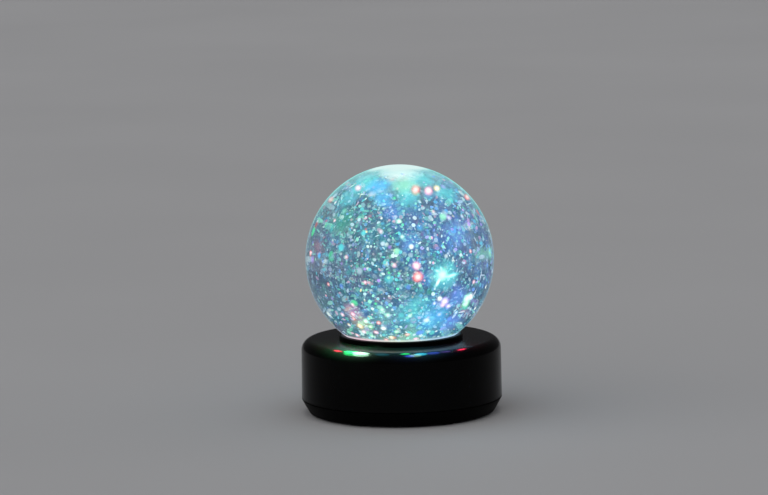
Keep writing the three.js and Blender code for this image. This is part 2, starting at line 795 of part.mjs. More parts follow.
// Switch body: a can with a flange, an open slot below for the knob's stem, and three pins on top
function switchBody() {
  const canBottom = switchPadTop;
  const canTop = canBottom + flangeThickness + canHeight;
  const flange = block(
    spread(switchX, canHalfWidth),
    spread(0, flangeHalfLength),
    [canBottom, canBottom + flangeThickness],
  );
  const can = block(spread(switchX, canHalfWidth), spread(0, canHalfLength), [canBottom, canTop]);
  const pins = [-pinPitch, 0, pinPitch].map((y) =>
    block(spread(switchX, pinWidth / 2), spread(y, pinWidth / 2), [canTop - overrun, canTop + pinHeight]),
  );
  const slotSpan = [canBottom - overrun, knobTop + stemHeight + canSlotRoom];
  const slot = block(spread(switchX, slotHalfWidth), spread(0, slotHalfLength), slotSpan);
  const stakeHoles = [-stakePlace, stakePlace].map((y) =>
    rod(stakeRadius + fitGap, canBottom - overrun, canBottom + flangeThickness + overrun, tiny, switchX, y),
  );
  return shaped(flange, { joined: [can, ...pins], cut: [slot, ...stakeHoles] });
}

const knobBottom = coverBottom + knobRibHeight;
const knobTop = knobBottom + knobThickness;

// The knob stands at the ON end of its travel, because the lamp is lit
function switchKnob() {
  const ribPitch = knobLength / (knobRibCount + 1);
  const cap = block(spread(0, knobWidth / 2), spread(0, knobLength / 2), [knobBottom, knobTop]);
  const stemSpan = [knobTop - overrun / 2, knobTop + stemHeight];
  const stem = block(spread(0, stemWidth / 2), spread(0, stemLength / 2), stemSpan);
  const ribs = Array.from({ length: knobRibCount }, (_, i) =>
    block(
      spread(0, knobWidth / 2 - knobRibWidth),
      spread((i + 1) * ribPitch - knobLength / 2, knobRibWidth / 2),
      [knobBottom - knobRibHeight, knobBottom + knobRibHeight],
    ),
  );
  return shaped(cap, { joined: [stem, ...ribs] });
}

function ledBoard() {
  const holes = boardScrewPlaces.map(([x, y]) =>
    rod(screwRadius + fitGap, boardBottom - overrun, boardTop + overrun, tiny, x, y),
  );
  return shaped(rod(boardRadius, boardBottom, boardTop, fine), { cut: holes });
}

function led() {
  const outline = [
    ...arc(0, ledHeight - ledRadius, ledRadius, 90, 0, 3),
    [ledRadius, ledFlangeHeight],
    [ledFlangeRadius, ledFlangeHeight],
    [ledFlangeRadius, 0],
    [0, 0],
  ];
  return turned(onAxis(outline), small);
}

function reflectorRing() {
  const low = boardTop;
  const high = boardTop + reflectorHeight;
  const outline = [
    [reflectorOuterRadius - reflectorFoot, low],
    [reflectorOuterRadius - reflectorLip, high],
    [reflectorOuterRadius, high],
    [reflectorOuterRadius, low],
    [reflectorOuterRadius - reflectorFoot, low],
  ];
  return turned(outline, medium);
}

const boxOf = ({ x, y, z }) => block(spread(0, x / 2), spread(0, y / 2), [0, z]);

// Leads: each starts and ends square to what it is soldered to
const point = (x, y, z) => new THREE.Vector3(x, y, z);
const leadFrom = (points) =>
  wire(new THREE.CatmullRomCurve3(points, false, "centripetal"), leadRadius, 2, 22);

function lugStart(side) {
  const x = side * cellPitch;
  const y = side * (lugEnd + fitGap);
  return [point(x, y, lugHeight), point(x, y + side * leadStraight, lugHeight)];
}

function pinEnd(y) {
  const pinTop = switchPadTop + flangeThickness + canHeight + pinHeight + fitGap;
  return [point(switchX, y, pinTop + leadStraight), point(switchX, y, pinTop)];
}

function boardEnd(angle) {
  const [x, y] = onCircle(padRadiusFromAxis, angle);
  const [archX, archY] = onCircle(boardRadius, angle);
  const [outX, outY] = onCircle(boardRadius + leadStandoff, angle);
  return [
    point(outX, outY, boardBottom),
    point(outX, outY, boardTop + leadStraight),
    point(archX, archY, boardTop + leadArch),
    point(x, y, boardTop + leadStraight),
    point(x, y, boardTop + fitGap),
  ];
}

// The first lead turns the box's corner between the box and the shell's wall
function batteryToSwitch() {
  const cornerRadius = THREE.MathUtils.lerp(bayCornerRadius, shellBore, leadCornerShare);
  const corner = point(-boxOuterX, -boxOuterY, 0).setLength(cornerRadius).setZ(lugHeight);
  return leadFrom([...lugStart(-1), corner, ...pinEnd(-pinPitch)]);
}

const switchToBoard = () => leadFrom([...pinEnd(0).reverse(), ...boardEnd(switchPadAngle)]);
const batteryToBoard = () => leadFrom([...lugStart(1), ...boardEnd(batteryPadAngle)]);

// The base's moulded pieces, its feet and the screws that hold them
const base = new THREE.Group();
discoBall.add(base);
place(base, "base_shell", baseShell(), "blackPlastic");
place(base, "collar_ring", collarRing(), "collarPlastic");
place(base, "bottom_cover", bottomCover(), "blackPlastic");
footPlaces.forEach(([x, y], i) => place(groupAt(base, x, y, 0), `foot_pad_${i + 1}`, footPad(), "rubber"));
postPlaces.forEach((spot, i) =>
  addScrew(base, `cover_screw_${i + 1}`, coverScrewLength, spot, coverHeadSeat),
);
collarScrewPlaces.forEach((spot, i) =>
  addScrew(base, `collar_screw_${i + 1}`, collarScrewLength, spot, ledgeBottom),
);

// The ball and what closes and seats it
const ball = new THREE.Group();
discoBall.add(ball);
place(ball, "globe_shell", globeShell(), "clearPlastic");
place(ball, "liquid_fill", liquidFill(), "liquid");
place(ball, "globe_plug", globePlug(), "clearPlastic");
place(ball, "plug_seal", flatRing(neckBore, neckRadius, plugFlangeTop, neckBottom, medium), "silicone");
place(ball, "globe_gasket", globeGasket(), "silicone");

// The light unit: board, lamps in a ring, reflector, driver
const lightUnit = new THREE.Group();
discoBall.add(lightUnit);
place(lightUnit, "led_board", ledBoard(), "board");
place(lightUnit, "reflector_ring", reflectorRing(), "reflector");
const ledColours = ["red", "green", "blue"];
const ledCount = 6;
for (let i = 0; i < ledCount; i += 1) {
  const colour = ledColours[i % ledColours.length];
  const [x, y] = onCircle(ledCircle, (360 * (i + 0.5)) / ledCount);
  const number = Math.floor(i / ledColours.length) + 1;
  place(groupAt(lightUnit, x, y, boardTop), `led_${colour}_${number}`, led(), `${colour}Led`);
}
place(groupAt(lightUnit, 0, -chipPlace, boardTop), "driver_chip", boxOf(chipSize), "chip");
[-1, 0, 1].forEach((step, i) => {
  const angle = resistorAngle + step * resistorSpread;
  const [x, y] = onCircle(resistorPlace, angle);
  const spot = groupAt(lightUnit, x, y, boardTop);
  spot.rotation.z = turn(angle);
  place(spot, `resistor_${i + 1}`, boxOf(resistorSize), "resistor");
});
boardScrewPlaces.forEach((spot, i) =>
  addScrew(lightUnit, `board_screw_${i + 1}`, boardScrewLength, spot, boardBottom),
);

// The battery unit: box, cells in series, springs, contacts and the door
const batteryUnit = new THREE.Group();
discoBall.add(batteryUnit);
place(batteryUnit, "battery_box", batteryBox(), "blackPlastic");
const boxScrewSeat = boxEarBottom + boxEarThickness;
boxScrewPlaces.forEach((spot, i) =>
  addScrew(batteryUnit, `box_screw_${i + 1}`, boxScrewLength, spot, boxScrewSeat, { up: false }),
);
[-1, 0, 1].forEach((column, i) => {
  const bay = groupAt(batteryUnit, column * cellPitch, 0, cellAxis);
  bay.rotation.z = column === 0 ? Math.PI : 0;
  place(bay, `battery_cell_${i + 1}`, batteryCell(), "cell").position.y = -cellPlace;
  const spring = wire(new SpringCurve(), springWire, 2, 34);
  place(bay, `contact_spring_${i + 1}`, spring, "spring").position.y = springPlace;
});
const plus = groupAt(batteryUnit, -cellPitch, -contactPlace, cellAxis);
const plusContact = place(plus, "end_contact_plus", endContact(), "steel");
plusContact.scale.set(1, -1, 1);
place(groupAt(batteryUnit, cellPitch, contactPlace, cellAxis), "end_contact_minus", endContact(), "steel");
const bridgeHalfWidth = (cellPitch + contactWidth) / 2;
place(
  groupAt(batteryUnit, cellPitch / 2, -contactPlace, cellAxis),
  "bridge_contact_front",
  contactPlate(bridgeHalfWidth),
  "steel",
);
place(
  groupAt(batteryUnit, -cellPitch / 2, contactPlace, cellAxis),
  "bridge_contact_back",
  contactPlate(bridgeHalfWidth),
  "steel",
);
const door = new THREE.Group();
batteryUnit.add(door);
place(door, "battery_door", batteryDoor(), "blackPlastic");
addScrew(
  door,
  "door_screw",
  doorThickness - doorHeadSink + doorScrewReach,
  [doorScrewX, 0],
  coverBottom + doorHeadSink,
  { headHeight: doorHeadHeight },
);

// The switch and the leads
const wiring = new THREE.Group();
discoBall.add(wiring);
place(wiring, "switch_body", switchBody(), "steel");
place(groupAt(wiring, switchX, switchTravel / 2, 0), "switch_knob", switchKnob(), "knob");
place(wiring, "lead_battery_to_switch", batteryToSwitch(), "redLead");
place(wiring, "lead_switch_to_board", switchToBoard(), "redLead");
place(wiring, "lead_battery_to_board", batteryToBoard(), "blackLead");

export default discoBall;
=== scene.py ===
import math

import bmesh
import bpy
from mathutils import Matrix, Vector


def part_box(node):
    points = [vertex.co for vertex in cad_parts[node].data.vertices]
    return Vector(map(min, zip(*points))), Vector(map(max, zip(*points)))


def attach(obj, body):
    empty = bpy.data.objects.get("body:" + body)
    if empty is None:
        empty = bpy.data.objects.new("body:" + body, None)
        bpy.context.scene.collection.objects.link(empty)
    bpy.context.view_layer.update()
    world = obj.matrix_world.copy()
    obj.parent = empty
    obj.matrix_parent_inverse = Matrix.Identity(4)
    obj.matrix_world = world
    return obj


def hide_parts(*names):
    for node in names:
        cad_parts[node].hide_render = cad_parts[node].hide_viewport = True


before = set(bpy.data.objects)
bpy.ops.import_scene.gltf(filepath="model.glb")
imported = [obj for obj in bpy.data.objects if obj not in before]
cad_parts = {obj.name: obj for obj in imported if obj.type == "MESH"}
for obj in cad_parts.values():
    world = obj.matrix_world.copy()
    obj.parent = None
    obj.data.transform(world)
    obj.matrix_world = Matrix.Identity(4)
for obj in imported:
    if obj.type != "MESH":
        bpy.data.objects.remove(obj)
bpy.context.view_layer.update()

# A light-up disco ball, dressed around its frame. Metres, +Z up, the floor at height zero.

scene = bpy.context.scene

MM = 0.001
TURN = 2 * math.pi

# Base shell, collar ring and bottom cover, as the frame has them
SHELL_WALL = 2.6 * MM
SIDE_DRAFT = 0.25 * MM
SHOULDER_RADIUS = 5.6 * MM
INNER_CORNER = 3 * MM
FIT_GAP = 0.3 * MM
COLLAR_LIP = 1.6 * MM
COLLAR_EDGE = 0.7 * MM
COLLAR_OVERHANG = 2 * MM
GASKET_THICKNESS = 0.9 * MM
GROOVE_SHARES = (0.16, 0.66)
LEDGE_THICKNESS = 2.4 * MM
LEDGE_REACH = 1 * MM
EDGE_ROUND = 0.25 * MM
RIM_CHAMFER = 3.6 * MM
RIM_EDGE = 0.8 * MM
RIM_HEIGHT = 7.6 * MM
PARTING_GAP = 0.3 * MM
COVER_THICKNESS = 2.4 * MM
TONGUE_HEIGHT = 3 * MM
TONGUE_THICKNESS = 1.6 * MM
TONGUE_INSET = 1.6 * MM
BOSS_WALL = 1.6 * MM
BOSS_HEIGHT = 2.8 * MM
POST_RADIUS = 3.6 * MM
WEB_THICKNESS = 1.6 * MM
BOARD_POST_RADIUS = 3 * MM
BOX_BOSS_RADIUS = 3.2 * MM
BOX_BOSS_HEIGHT = 2.5 * MM
OVERRUN = 1 * MM

# Screws, and the bores that they stand in
SCREW_RADIUS = 1.35 * MM
HEAD_HEIGHT = 1.8 * MM
THREAD_GAP = 0.15 * MM
BORE_END = 0.4 * MM

# What the cover has for the battery door and the slide switch
GRIP_START = 11.5 * MM
GRIP_PITCH = 1.8 * MM
GRIP_BARS = 4
GRIP_HALF_WIDTH = 6 * MM
MARK_SIZE = 3.2 * MM
MARK_PLACE = 7.4 * MM
MARK_DEPTH = 0.12 * MM
DOOR_HALF_WIDTH = 21.9 * MM
DOOR_CORNER = 2.5 * MM
DOOR_THICKNESS = 2 * MM
DOOR_SCREW_ROOM = 0.4 * MM
DOOR_BOSS_RADIUS = 3.4 * MM
EAR_HALF_WIDTH = 5 * MM
EAR_PAD_HEIGHT = 2 * MM
EAR_PAD_WALL = 1.5 * MM
SWITCH_TRAVEL = 3 * MM
POCKET_DEPTH = 1.8 * MM
POCKET_MARGIN = 0.7 * MM
SLOT_HALF_WIDTH = 1.5 * MM
SLOT_HALF_LENGTH = 3.3 * MM
SWITCH_PAD_MARGIN = 1.2 * MM
STAKE_PLACE = 7.6 * MM
STAKE_RADIUS = 0.9 * MM
STAKE_HEAD_RADIUS = 1.5 * MM
STAKE_HEAD_HEIGHT = 0.8 * MM
FLANGE_THICKNESS = 0.5 * MM

# Ball, liquid and glitter
NECK_WALL = 2.5 * MM
PLUG_GAP = 0.1 * MM
POLE_ANGLE = 89.4  # where the ball's outline leaves its pole, in degrees
CLEAR_IOR = 1.36
HAZE = {"Layers": 5, "Inner": 15 * MM, "Outer": 45.4 * MM}
FLAKES = {"Count": 4000, "Reach": 46.4 * MM, "Smallest": 0.36 * MM, "Largest": 1.12 * MM, "Seed": 7}
GLOWS = {"Count": 330, "Reach": 46.4 * MM, "Smallest": 0.8 * MM, "Largest": 3.2 * MM, "Seed": 21}
GLEAM_REACH = 46.6 * MM
BACK_SHINE = 0.5

# From the front gleams to their copies, which then don't show through the ball from the front
BACK_TURN = math.radians(195)

# Grain, and how far from an edge a finish fades in and is full
GRAIN_DEPTH = 0.05 * MM
RUBBER_GRAIN_DEPTH = 0.08 * MM
BRUSH_DEPTH = 0.03 * MM
GRIP_DEPTH = 0.3 * MM
GRIP_EDGE = 0.2 * MM
GRIP_FADE = (0.5 * MM, 0.3 * MM)
FACE_FADE = (0.12 * MM, 0.04 * MM)

# How finely pieces are divided
FINE = 160
MEDIUM = 64
SMALL = 32

globe_low, globe_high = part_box("globe_shell")
GLOBE_RADIUS = (globe_high.x - globe_low.x) / 2
GLOBE_HEIGHT = globe_high.z - GLOBE_RADIUS
NECK_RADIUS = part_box("plug_seal")[1].x
NECK_BORE = NECK_RADIUS - NECK_WALL
PLUG_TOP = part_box("globe_plug")[1].z


def even(share):
    """A grey, as the light that it gives back."""
    return (share, share, share, 1)


def tone(red, green, blue):
    """A display colour, 0 to 255, as the light that it stands for."""
    shares = [part / 255 for part in (red, green, blue)]
    return tuple(s / 12.92 if s <= 0.04045 else ((s + 0.055) / 1.055) ** 2.4 for s in shares) + (1.0,)


BLACK = (0, 0, 0, 1)
WHITE_LIGHT = (1, 1, 1, 1)


class Link:
    """A socket of a node tree, on which sums are written as they are on numbers."""

    def __init__(self, nodes, socket):
        self.nodes = nodes
        self.socket = socket

    def __add__(self, other):
        return self.nodes.math("ADD", self, other)

    def __radd__(self, other):
        return self.nodes.math("ADD", other, self)

    def __sub__(self, other):
        return self.nodes.math("SUBTRACT", self, other)

    def __rsub__(self, other):
        return self.nodes.math("SUBTRACT", other, self)

    def __mul__(self, other):
        return self.nodes.math("MULTIPLY", self, other)

    def __rmul__(self, other):
        return self.nodes.math("MULTIPLY", other, self)

    def __truediv__(self, other):
        return self.nodes.math("DIVIDE", self, other)

    def __pow__(self, other):
        return self.nodes.math("POWER", self, other)

    def __abs__(self):
        return self.nodes.math("ABSOLUTE", self)

    def fraction(self):
        return self.nodes.math("FRACT", self)


class Nodes:
    """A node tree that is filled through one method."""

    def __init__(self, tree):
        self.tree = tree

    def add(self, kind, settings=None, values=None, output=0):
        node = self.tree.nodes.new(kind)
        for key, value in (settings or {}).items():
            if key == "stops":
                self.set_stops(node.color_ramp.elements, value)
            elif key == "interpolation":
                node.color_ramp.interpolation = value
            else:
                setattr(node, key, value)
        for key, value in (values or {}).items():
            if isinstance(value, Link):
                self.tree.links.new(value.socket, node.inputs[key])
            else:
                node.inputs[key].default_value = value
        return Link(self, node.outputs[output]) if node.outputs else None

    def math(self, operation, *values):
        return self.add("ShaderNodeMath", {"operation": operation}, dict(enumerate(values)))

    def vector(self, operation, *values, output=0):
        return self.add("ShaderNodeVectorMath", {"operation": operation}, dict(enumerate(values)), output)

    @staticmethod
    def set_stops(elements, stops):
        while len(elements) < len(stops):
            elements.new(1.0)
        for element, (place, colour) in zip(elements, stops):
            element.position = place
            element.color = colour


class Finish(Nodes):
    """A material and the nodes that make it."""

    def __init__(self, name):
        self.material = bpy.data.materials.new(name)
        self.material.use_nodes = True
        super().__init__(self.material.node_tree)
        self.tree.nodes.clear()

    def place(self):
        return self.add("ShaderNodeTexCoord", output="Object")

    def axes(self):
        separate = self.add("ShaderNodeSeparateXYZ", values={0: self.place()})
        outputs = separate.socket.node.outputs
        return [Link(self, outputs[axis]) for axis in ("X", "Y", "Z")]

    def grain(self, scale, detail=3.0, place=None, distortion=0.0):
        place = place or self.place()
        values = {"Vector": place, "Scale": scale, "Detail": detail, "Distortion": distortion}
        return self.add("ShaderNodeTexNoise", values=values)

    def cells(self, scale):
        return self.add("ShaderNodeTexVoronoi", values={"Vector": self.place(), "Scale": scale})

    def ramp(self, value, stops, interpolation="LINEAR"):
        return self.add("ShaderNodeValToRGB", {"stops": stops, "interpolation": interpolation}, {0: value})

    def mottle(self, value, dark, light, low=0.3, high=0.7):
        return self.ramp(value, [(low, dark), (high, light)])

    def blend(self, first, second, share):
        return self.add("ShaderNodeMix", {"data_type": "RGBA"}, {0: share, 6: first, 7: second}, output=2)

    def ease(self, value, low, high):
        settings = {"interpolation_type": "SMOOTHSTEP"}
        return self.add("ShaderNodeMapRange", settings, {0: value, 1: low, 2: high})

    def bump(self, height, strength, distance=GRAIN_DEPTH):
        values = {"Height": height, "Strength": strength, "Distance": distance}
        return self.add("ShaderNodeBump", values=values)

    def attribute(self, name):
        return self.add("ShaderNodeAttribute", {"attribute_name": name}, output="Fac")

    def principled(self, values):
        return self.add("ShaderNodeBsdfPrincipled", values=values)

    def surface(self, shader):
        self.add("ShaderNodeOutputMaterial", values={"Surface": shader})
        return self.material

    def coat(self, values):
        return self.surface(self.principled(values))

    def veil(self, colour, share, strength):
        """Light with no body of its own, the denser the larger its share."""
        return self.coat({
            "Base Color": BLACK,
            "Roughness": 1.0,
            "Specular IOR Level": 0.0,
            "Alpha": share,
            "Emission Color": colour,
            "Emission Strength": strength,
        })


def moulded_plastic(name, dark, light, roughness, specular, grain_scale=2400, grain_strength=0.12):
    finish = Finish(name)
    cloud = finish.grain(55, 2)
    grain = finish.grain(grain_scale, 3)
    rough = roughness + (cloud - 0.5) * 0.06 + (grain - 0.5) * 0.06
    return finish.coat({
        "Base Color": finish.mottle(cloud, dark, light),
        "Roughness": rough,
        "Specular IOR Level": specular,
        "Normal": finish.bump(grain, grain_strength),
    })


def cover_plastic():
    """The cover's matt black, a shade lighter on its textured face under the lamp."""
    finish = Finish("black_cover_plastic")
    _, _, z = finish.axes()
    under = finish.ease(z, *(COVER_BOTTOM + fade for fade in FACE_FADE))
    grain = finish.grain(2400, 3)
    side = finish.mottle(finish.grain(55, 2), even(0.0012), even(0.0018))
    face = finish.mottle(grain, tone(17, 17, 18), tone(25, 25, 26))
    return finish.coat({
        "Base Color": finish.blend(side, face, under),
        "Roughness": 0.45 + 0.2 * under + (grain - 0.5) * 0.06,
        "Specular IOR Level": 0.02,
        "Normal": finish.bump(grain, 0.2),
    })


def door_plastic():
    """The battery door's matt black, with a moulded grip of short bars beside its screw."""
    finish = Finish("door_plastic")
    x, y, z = finish.axes()
    grain = finish.grain(1800, 3)
    pitch = (x - GRIP_START) / GRIP_PITCH
    bar = finish.ease(abs(pitch.fraction() - 0.5), 0.30, 0.18)
    inside = finish.ease(pitch, -0.02, 0.02) * finish.ease(pitch, GRIP_BARS + 0.02, GRIP_BARS - 0.02)
    inside *= finish.ease(abs(y), GRIP_HALF_WIDTH + GRIP_EDGE, GRIP_HALF_WIDTH - GRIP_EDGE)
    grip = bar * inside * finish.ease(z, *(COVER_BOTTOM + fade for fade in GRIP_FADE))
    colour = finish.mottle(grain, tone(20, 20, 22), tone(29, 29, 31))
    return finish.coat({
        "Base Color": finish.blend(colour, tone(44, 44, 46), 0.6 * grip),
        "Roughness": 0.5 - 0.12 * grip,
        "Specular IOR Level": 0.35,
        "Normal": finish.bump(grip + 0.08 * grain, 0.8, GRIP_DEPTH),
    })


def clear_wall():
    """The ball's clear wall and the liquid in it, as one lens, and painted light that runs round its edge
    and over its top.
    """
    finish = Finish("clear_ball")
    glass = finish.principled(
        {
            "Base Color": (0.96, 1.0, 1.0, 1.0),
            "Roughness": 0.0,
            "IOR": CLEAR_IOR,
            "Transmission Weight": 1.0,
        }
    )
    x, y, z = finish.axes()
    level = (z - GLOBE_HEIGHT) / GLOBE_RADIUS
    facing = finish.add("ShaderNodeLayerWeight", values={"Blend": 0.5}, output="Facing")
    # Painted light, as emission mixed over the glass: light at the foot just above the collar, a painted
    # highlight along both edges that is stronger high up, a painted glint line at the very edge, a painted
    # glint line of the wall's inner edge on the right side, painted light over the upper part and a painted
    # bright cap at the top, tinted by how far across and how high it is
    lip_light = (1 - finish.ease(level, -0.78, -0.755)) * 0.8
    high = finish.ease(level, 0.35, 1.0)
    uneven = finish.grain(70, 2)
    colour = finish.ramp(
        x / GLOBE_RADIUS * 0.5 + 0.5,
        [
            (0.10, tone(164, 206, 224)),
            (0.30, tone(255, 214, 226)),
            (0.50, tone(236, 255, 236)),
            (0.72, tone(186, 222, 255)),
            (0.90, tone(170, 226, 250)),
        ],
    )
    side_light = finish.ease(facing, 0.80, 0.98) * (0.13 + 0.4 * high + 0.3 * uneven)
    edge_glint_line = finish.ease(facing, 0.90, 0.985) * finish.ease(uneven, 0.35, 0.6) * 0.45
    right_side = finish.ease(x / GLOBE_RADIUS, 0.55, 0.85) * finish.ease(uneven, 0.42, 0.56)
    inner_wall_glint = finish.ease(facing, 0.575, 0.60) * finish.ease(facing, 0.63, 0.605) * right_side
    upper_light = finish.ease(facing, 0.60, 0.88) * finish.ease(level, 0.25, 0.75) * (0.25 + 0.5 * uneven)
    cap_light = finish.ease(level + (uneven - 0.5) * 0.06, 0.930, 0.985) * 0.75
    rim = side_light + upper_light + edge_glint_line + lip_light + 0.5 * inner_wall_glint + cap_light
    colour = finish.blend(colour, tone(160, 240, 238), finish.ease(level, -0.1, 0.5))
    colour = finish.blend(colour, tone(240, 255, 252), cap_light)
    edge_light = finish.add("ShaderNodeEmission", values={"Color": colour, "Strength": 0.95})
    return finish.surface(finish.add("ShaderNodeMixShader", values={0: rim, 1: glass, 2: edge_light}))


# What the liquid lets through of red, green and blue light
LIQUID_SHARES = (0.80, 0.91, 0.985)


def lit_haze():
    """Liquid lit from below: mottled teal, blue and violet, mint at the top, warm at the foot."""
    finish = Finish("lit_haze")
    x, y, z = finish.axes()
    level = (z - GLOBE_HEIGHT) / GLOBE_RADIUS
    wide = finish.grain(34, 2, distortion=0.6)
    patch = finish.grain(120, 3, distortion=0.4)
    hue = wide * 0.62 + patch * 0.38 + x * 2.2
    colour = finish.ramp(
        hue,
        [
            (0.30, tone(70, 116, 112)),
            (0.40, tone(68, 106, 134)),
            (0.48, tone(74, 120, 166)),
            (0.56, tone(74, 140, 214)),
            (0.64, tone(94, 132, 222)),
            (0.74, tone(118, 120, 212)),
        ],
    )
    # Painted light and shade by region: greyer blue on the left below the upper part, teal at the upper
    # left, bluer at the lower right
    left = finish.ease(x / GLOBE_RADIUS, -0.25, -0.65) * finish.ease(level, 0.50, 0.15)
    colour = finish.blend(colour, tone(96, 108, 146), 0.75 * left)
    upper_left = finish.ease(x / GLOBE_RADIUS, 0.25, -0.25) * finish.ease(level, 0.10, 0.40)
    colour = finish.blend(colour, tone(34, 146, 150), 0.55 * upper_left)
    low_right = finish.ease(x / GLOBE_RADIUS, 0.0, 0.30) * finish.ease(level, -0.15, -0.45)
    colour = finish.blend(colour, tone(34, 150, 200), 0.50 * low_right)
    for scale, share in ((95, 0.66), (230, 0.56)):
        drift = finish.grain(scale, 2)
        colour = finish.blend(colour, tone(158, 122, 140), finish.ease(drift, 0.54, 0.70) * share)
        colour = finish.blend(colour, tone(36, 150, 124), finish.ease(drift, 0.46, 0.30) * share)
    dark = finish.ease(finish.grain(150, 3), 0.56, 0.40)
    light = finish.ease(finish.grain(210, 2, distortion=0.3), 0.56, 0.70)
    colour = finish.blend(colour, tone(50, 82, 94), dark * 0.75)
    colour = finish.blend(colour, tone(160, 228, 232), light * 0.6)
    # Painted glints: tiny bright dots of glitter too far back to show one by one
    for scale, tint, share in ((560, tone(190, 255, 236), 0.75), (880, tone(170, 214, 255), 0.6)):
        far_glint = finish.ease(finish.cells(scale), 0.30, 0.10)
        colour = finish.blend(colour, tint, far_glint * share)
    top = finish.ease(level + (patch - 0.5) * 0.35, 0.60, 0.92)
    mint = finish.blend(tone(176, 240, 240), tone(214, 255, 248), finish.ease(wide, 0.4, 0.6))
    colour = finish.blend(colour, mint, top)
    blue_top = finish.ease(level, 0.45, 0.75) * finish.ease(patch, 0.5, 0.68) * (1 - top)
    colour = finish.blend(colour, tone(110, 206, 252), blue_top * 0.8)
    bottom = finish.ease(level, -0.50, -0.80)
    warm = finish.ramp(
        finish.grain(110, 2) + x * 3.4,
        [
            (0.34, tone(255, 150, 150)),
            (0.44, tone(200, 240, 170)),
            (0.52, tone(130, 236, 226)),
            (0.62, tone(100, 176, 255)),
        ],
    )
    colour = finish.blend(colour, warm, bottom * 0.65)
    share = 0.16 + 0.16 * finish.ease(patch, 0.35, 0.65) + 0.55 * top + 0.1 * bottom
    return finish.veil(finish.vector("MULTIPLY", colour, LIQUID_SHARES), share, 1.0)


FLAKE_TONES = [
    (0.00, tone(236, 255, 250)),
    (0.18, tone(160, 248, 210)),
    (0.38, tone(214, 240, 255)),
    (0.50, tone(100, 226, 232)),
    (0.60, tone(96, 196, 255)),
    (0.64, tone(90, 234, 158)),
    (0.71, tone(112, 160, 255)),
    (0.79, tone(188, 160, 250)),
    (0.85, tone(255, 172, 198)),
    (0.895, tone(255, 96, 92)),
    (0.91, tone(255, 226, 150)),
    (0.925, tone(10, 18, 22)),
]


def lit_glitter():
    """Flakes that catch the light, each its own tint and brightness."""
    finish = Finish("lit_glitter")
    x, _, _ = finish.axes()
    tint = finish.ramp(finish.attribute("tint"), FLAKE_TONES, "CONSTANT")
    across = x / GLOBE_RADIUS
    # Painted light: a quarter of each flake's colour is the tint of the light around it, set by how far
    # across the ball it is
    nearby_light_tint = finish.ramp(
        across * 0.5 + 0.5,
        [(0.12, tone(158, 190, 236)), (0.34, tone(134, 240, 226)), (0.9, tone(140, 180, 255))],
    )
    dull = 0.72 * finish.ease(finish.attribute("shine"), 0.6, 0.05)
    colour = finish.blend(finish.blend(tint, nearby_light_tint, 0.25), tone(92, 150, 166), dull)
    # Painted shade: flakes are dimmed towards the ball's left and right sides
    sides = 0.68 * finish.ease(across, -0.30, -0.70) + 0.45 * finish.ease(across, 0.42, 0.78)
    return finish.coat({
        "Base Color": even(0.02),
        "Roughness": 0.3,
        "Emission Color": finish.blend(colour, tone(80, 104, 142), sides),
        "Emission Strength": 1.35,
    })


def soft_glow():
    """Glitter out of focus, and washes of the lamps' light: bright in the middle, gone at the edge."""
    finish = Finish("soft_glow")
    tint = finish.ramp(finish.attribute("tint"), FLAKE_TONES[:-1], "CONSTANT")
    core = finish.attribute("core")
    ragged = core + (finish.grain(260, 3) - 0.5) * 1.1
    share = finish.ease(ragged, 0.0, 0.9) * finish.ease(core, 0.0, 0.4) * finish.attribute("shine")
    return finish.veil(tint, share, 1.3)


def lamp_gleam():
    """A lamp's beam where it leaves the glitter: white in the middle, coloured round it."""
    finish = Finish("lamp_gleam")
    tint = finish.ramp(finish.attribute("tint"), FLAKE_TONES[:-1], "CONSTANT")
    core = finish.attribute("core")
    ragged = core + (finish.grain(500, 2) - 0.5) * 0.6
    share = finish.ease(ragged, 0.0, 0.9) * finish.ease(core, 0.0, 0.9) * finish.attribute("shine")
    return finish.veil(finish.blend(tint, WHITE_LIGHT, 0.65 * finish.ease(core, 0.35, 0.95)), share, 1.6)


LAMP_CIRCLE = 10 * MM
LAMP_SPREAD = 6 * MM
LAMP_COUNT = 6
LAMP_TONES = [tone(255, 60, 50), tone(60, 255, 120), tone(70, 110, 255)]


def lit_plug():
    """Clear stopper with the light of the six lamps in it."""
    finish = Finish("lit_plug")
    x, y, _ = finish.axes()
    angle = finish.math("ARCTAN2", y, x)
    sector = angle * (LAMP_COUNT / TURN) + LAMP_COUNT
    colour = finish.ramp(
        (sector / len(LAMP_TONES)).fraction(),
        [(i / len(LAMP_TONES), lamp_tone) for i, lamp_tone in enumerate(LAMP_TONES)],
        "CONSTANT",
    )
    beam = sector.fraction()
    flat = finish.vector("MULTIPLY", finish.place(), (1, 1, 0))
    radius = finish.vector("LENGTH", flat, output="Value")
    middle = 1 - finish.ease((radius - LAMP_CIRCLE) ** 2.0 / LAMP_SPREAD ** 2, 0.0, 1.0)
    spot = finish.ease((beam - 0.5) ** 2.0, 0.16, 0.0) * middle
    colour = finish.blend(tone(120, 200, 210), colour, 0.25 + 0.75 * spot)
    return finish.coat({
        "Base Color": tone(150, 200, 205),
        "Roughness": 0.2 + 0.1 * finish.grain(400, 2),
        "Emission Color": colour,
        "Emission Strength": 3.0,
    })


def lamp_lens(name, colour):
    finish = Finish(name)
    _, _, z = finish.axes()
    low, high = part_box("led_red_1")
    rise = finish.ease(z, low.z, high.z)
    glow = finish.blend(colour, WHITE_LIGHT, 0.45 * rise ** 3.0)
    return finish.coat({
        "Base Color": colour,
        "Roughness": 0.1 + 0.08 * finish.grain(900, 2),
        "Coat Weight": 0.4,
        "Emission Color": glow,
        "Emission Strength": 4.0,
    })


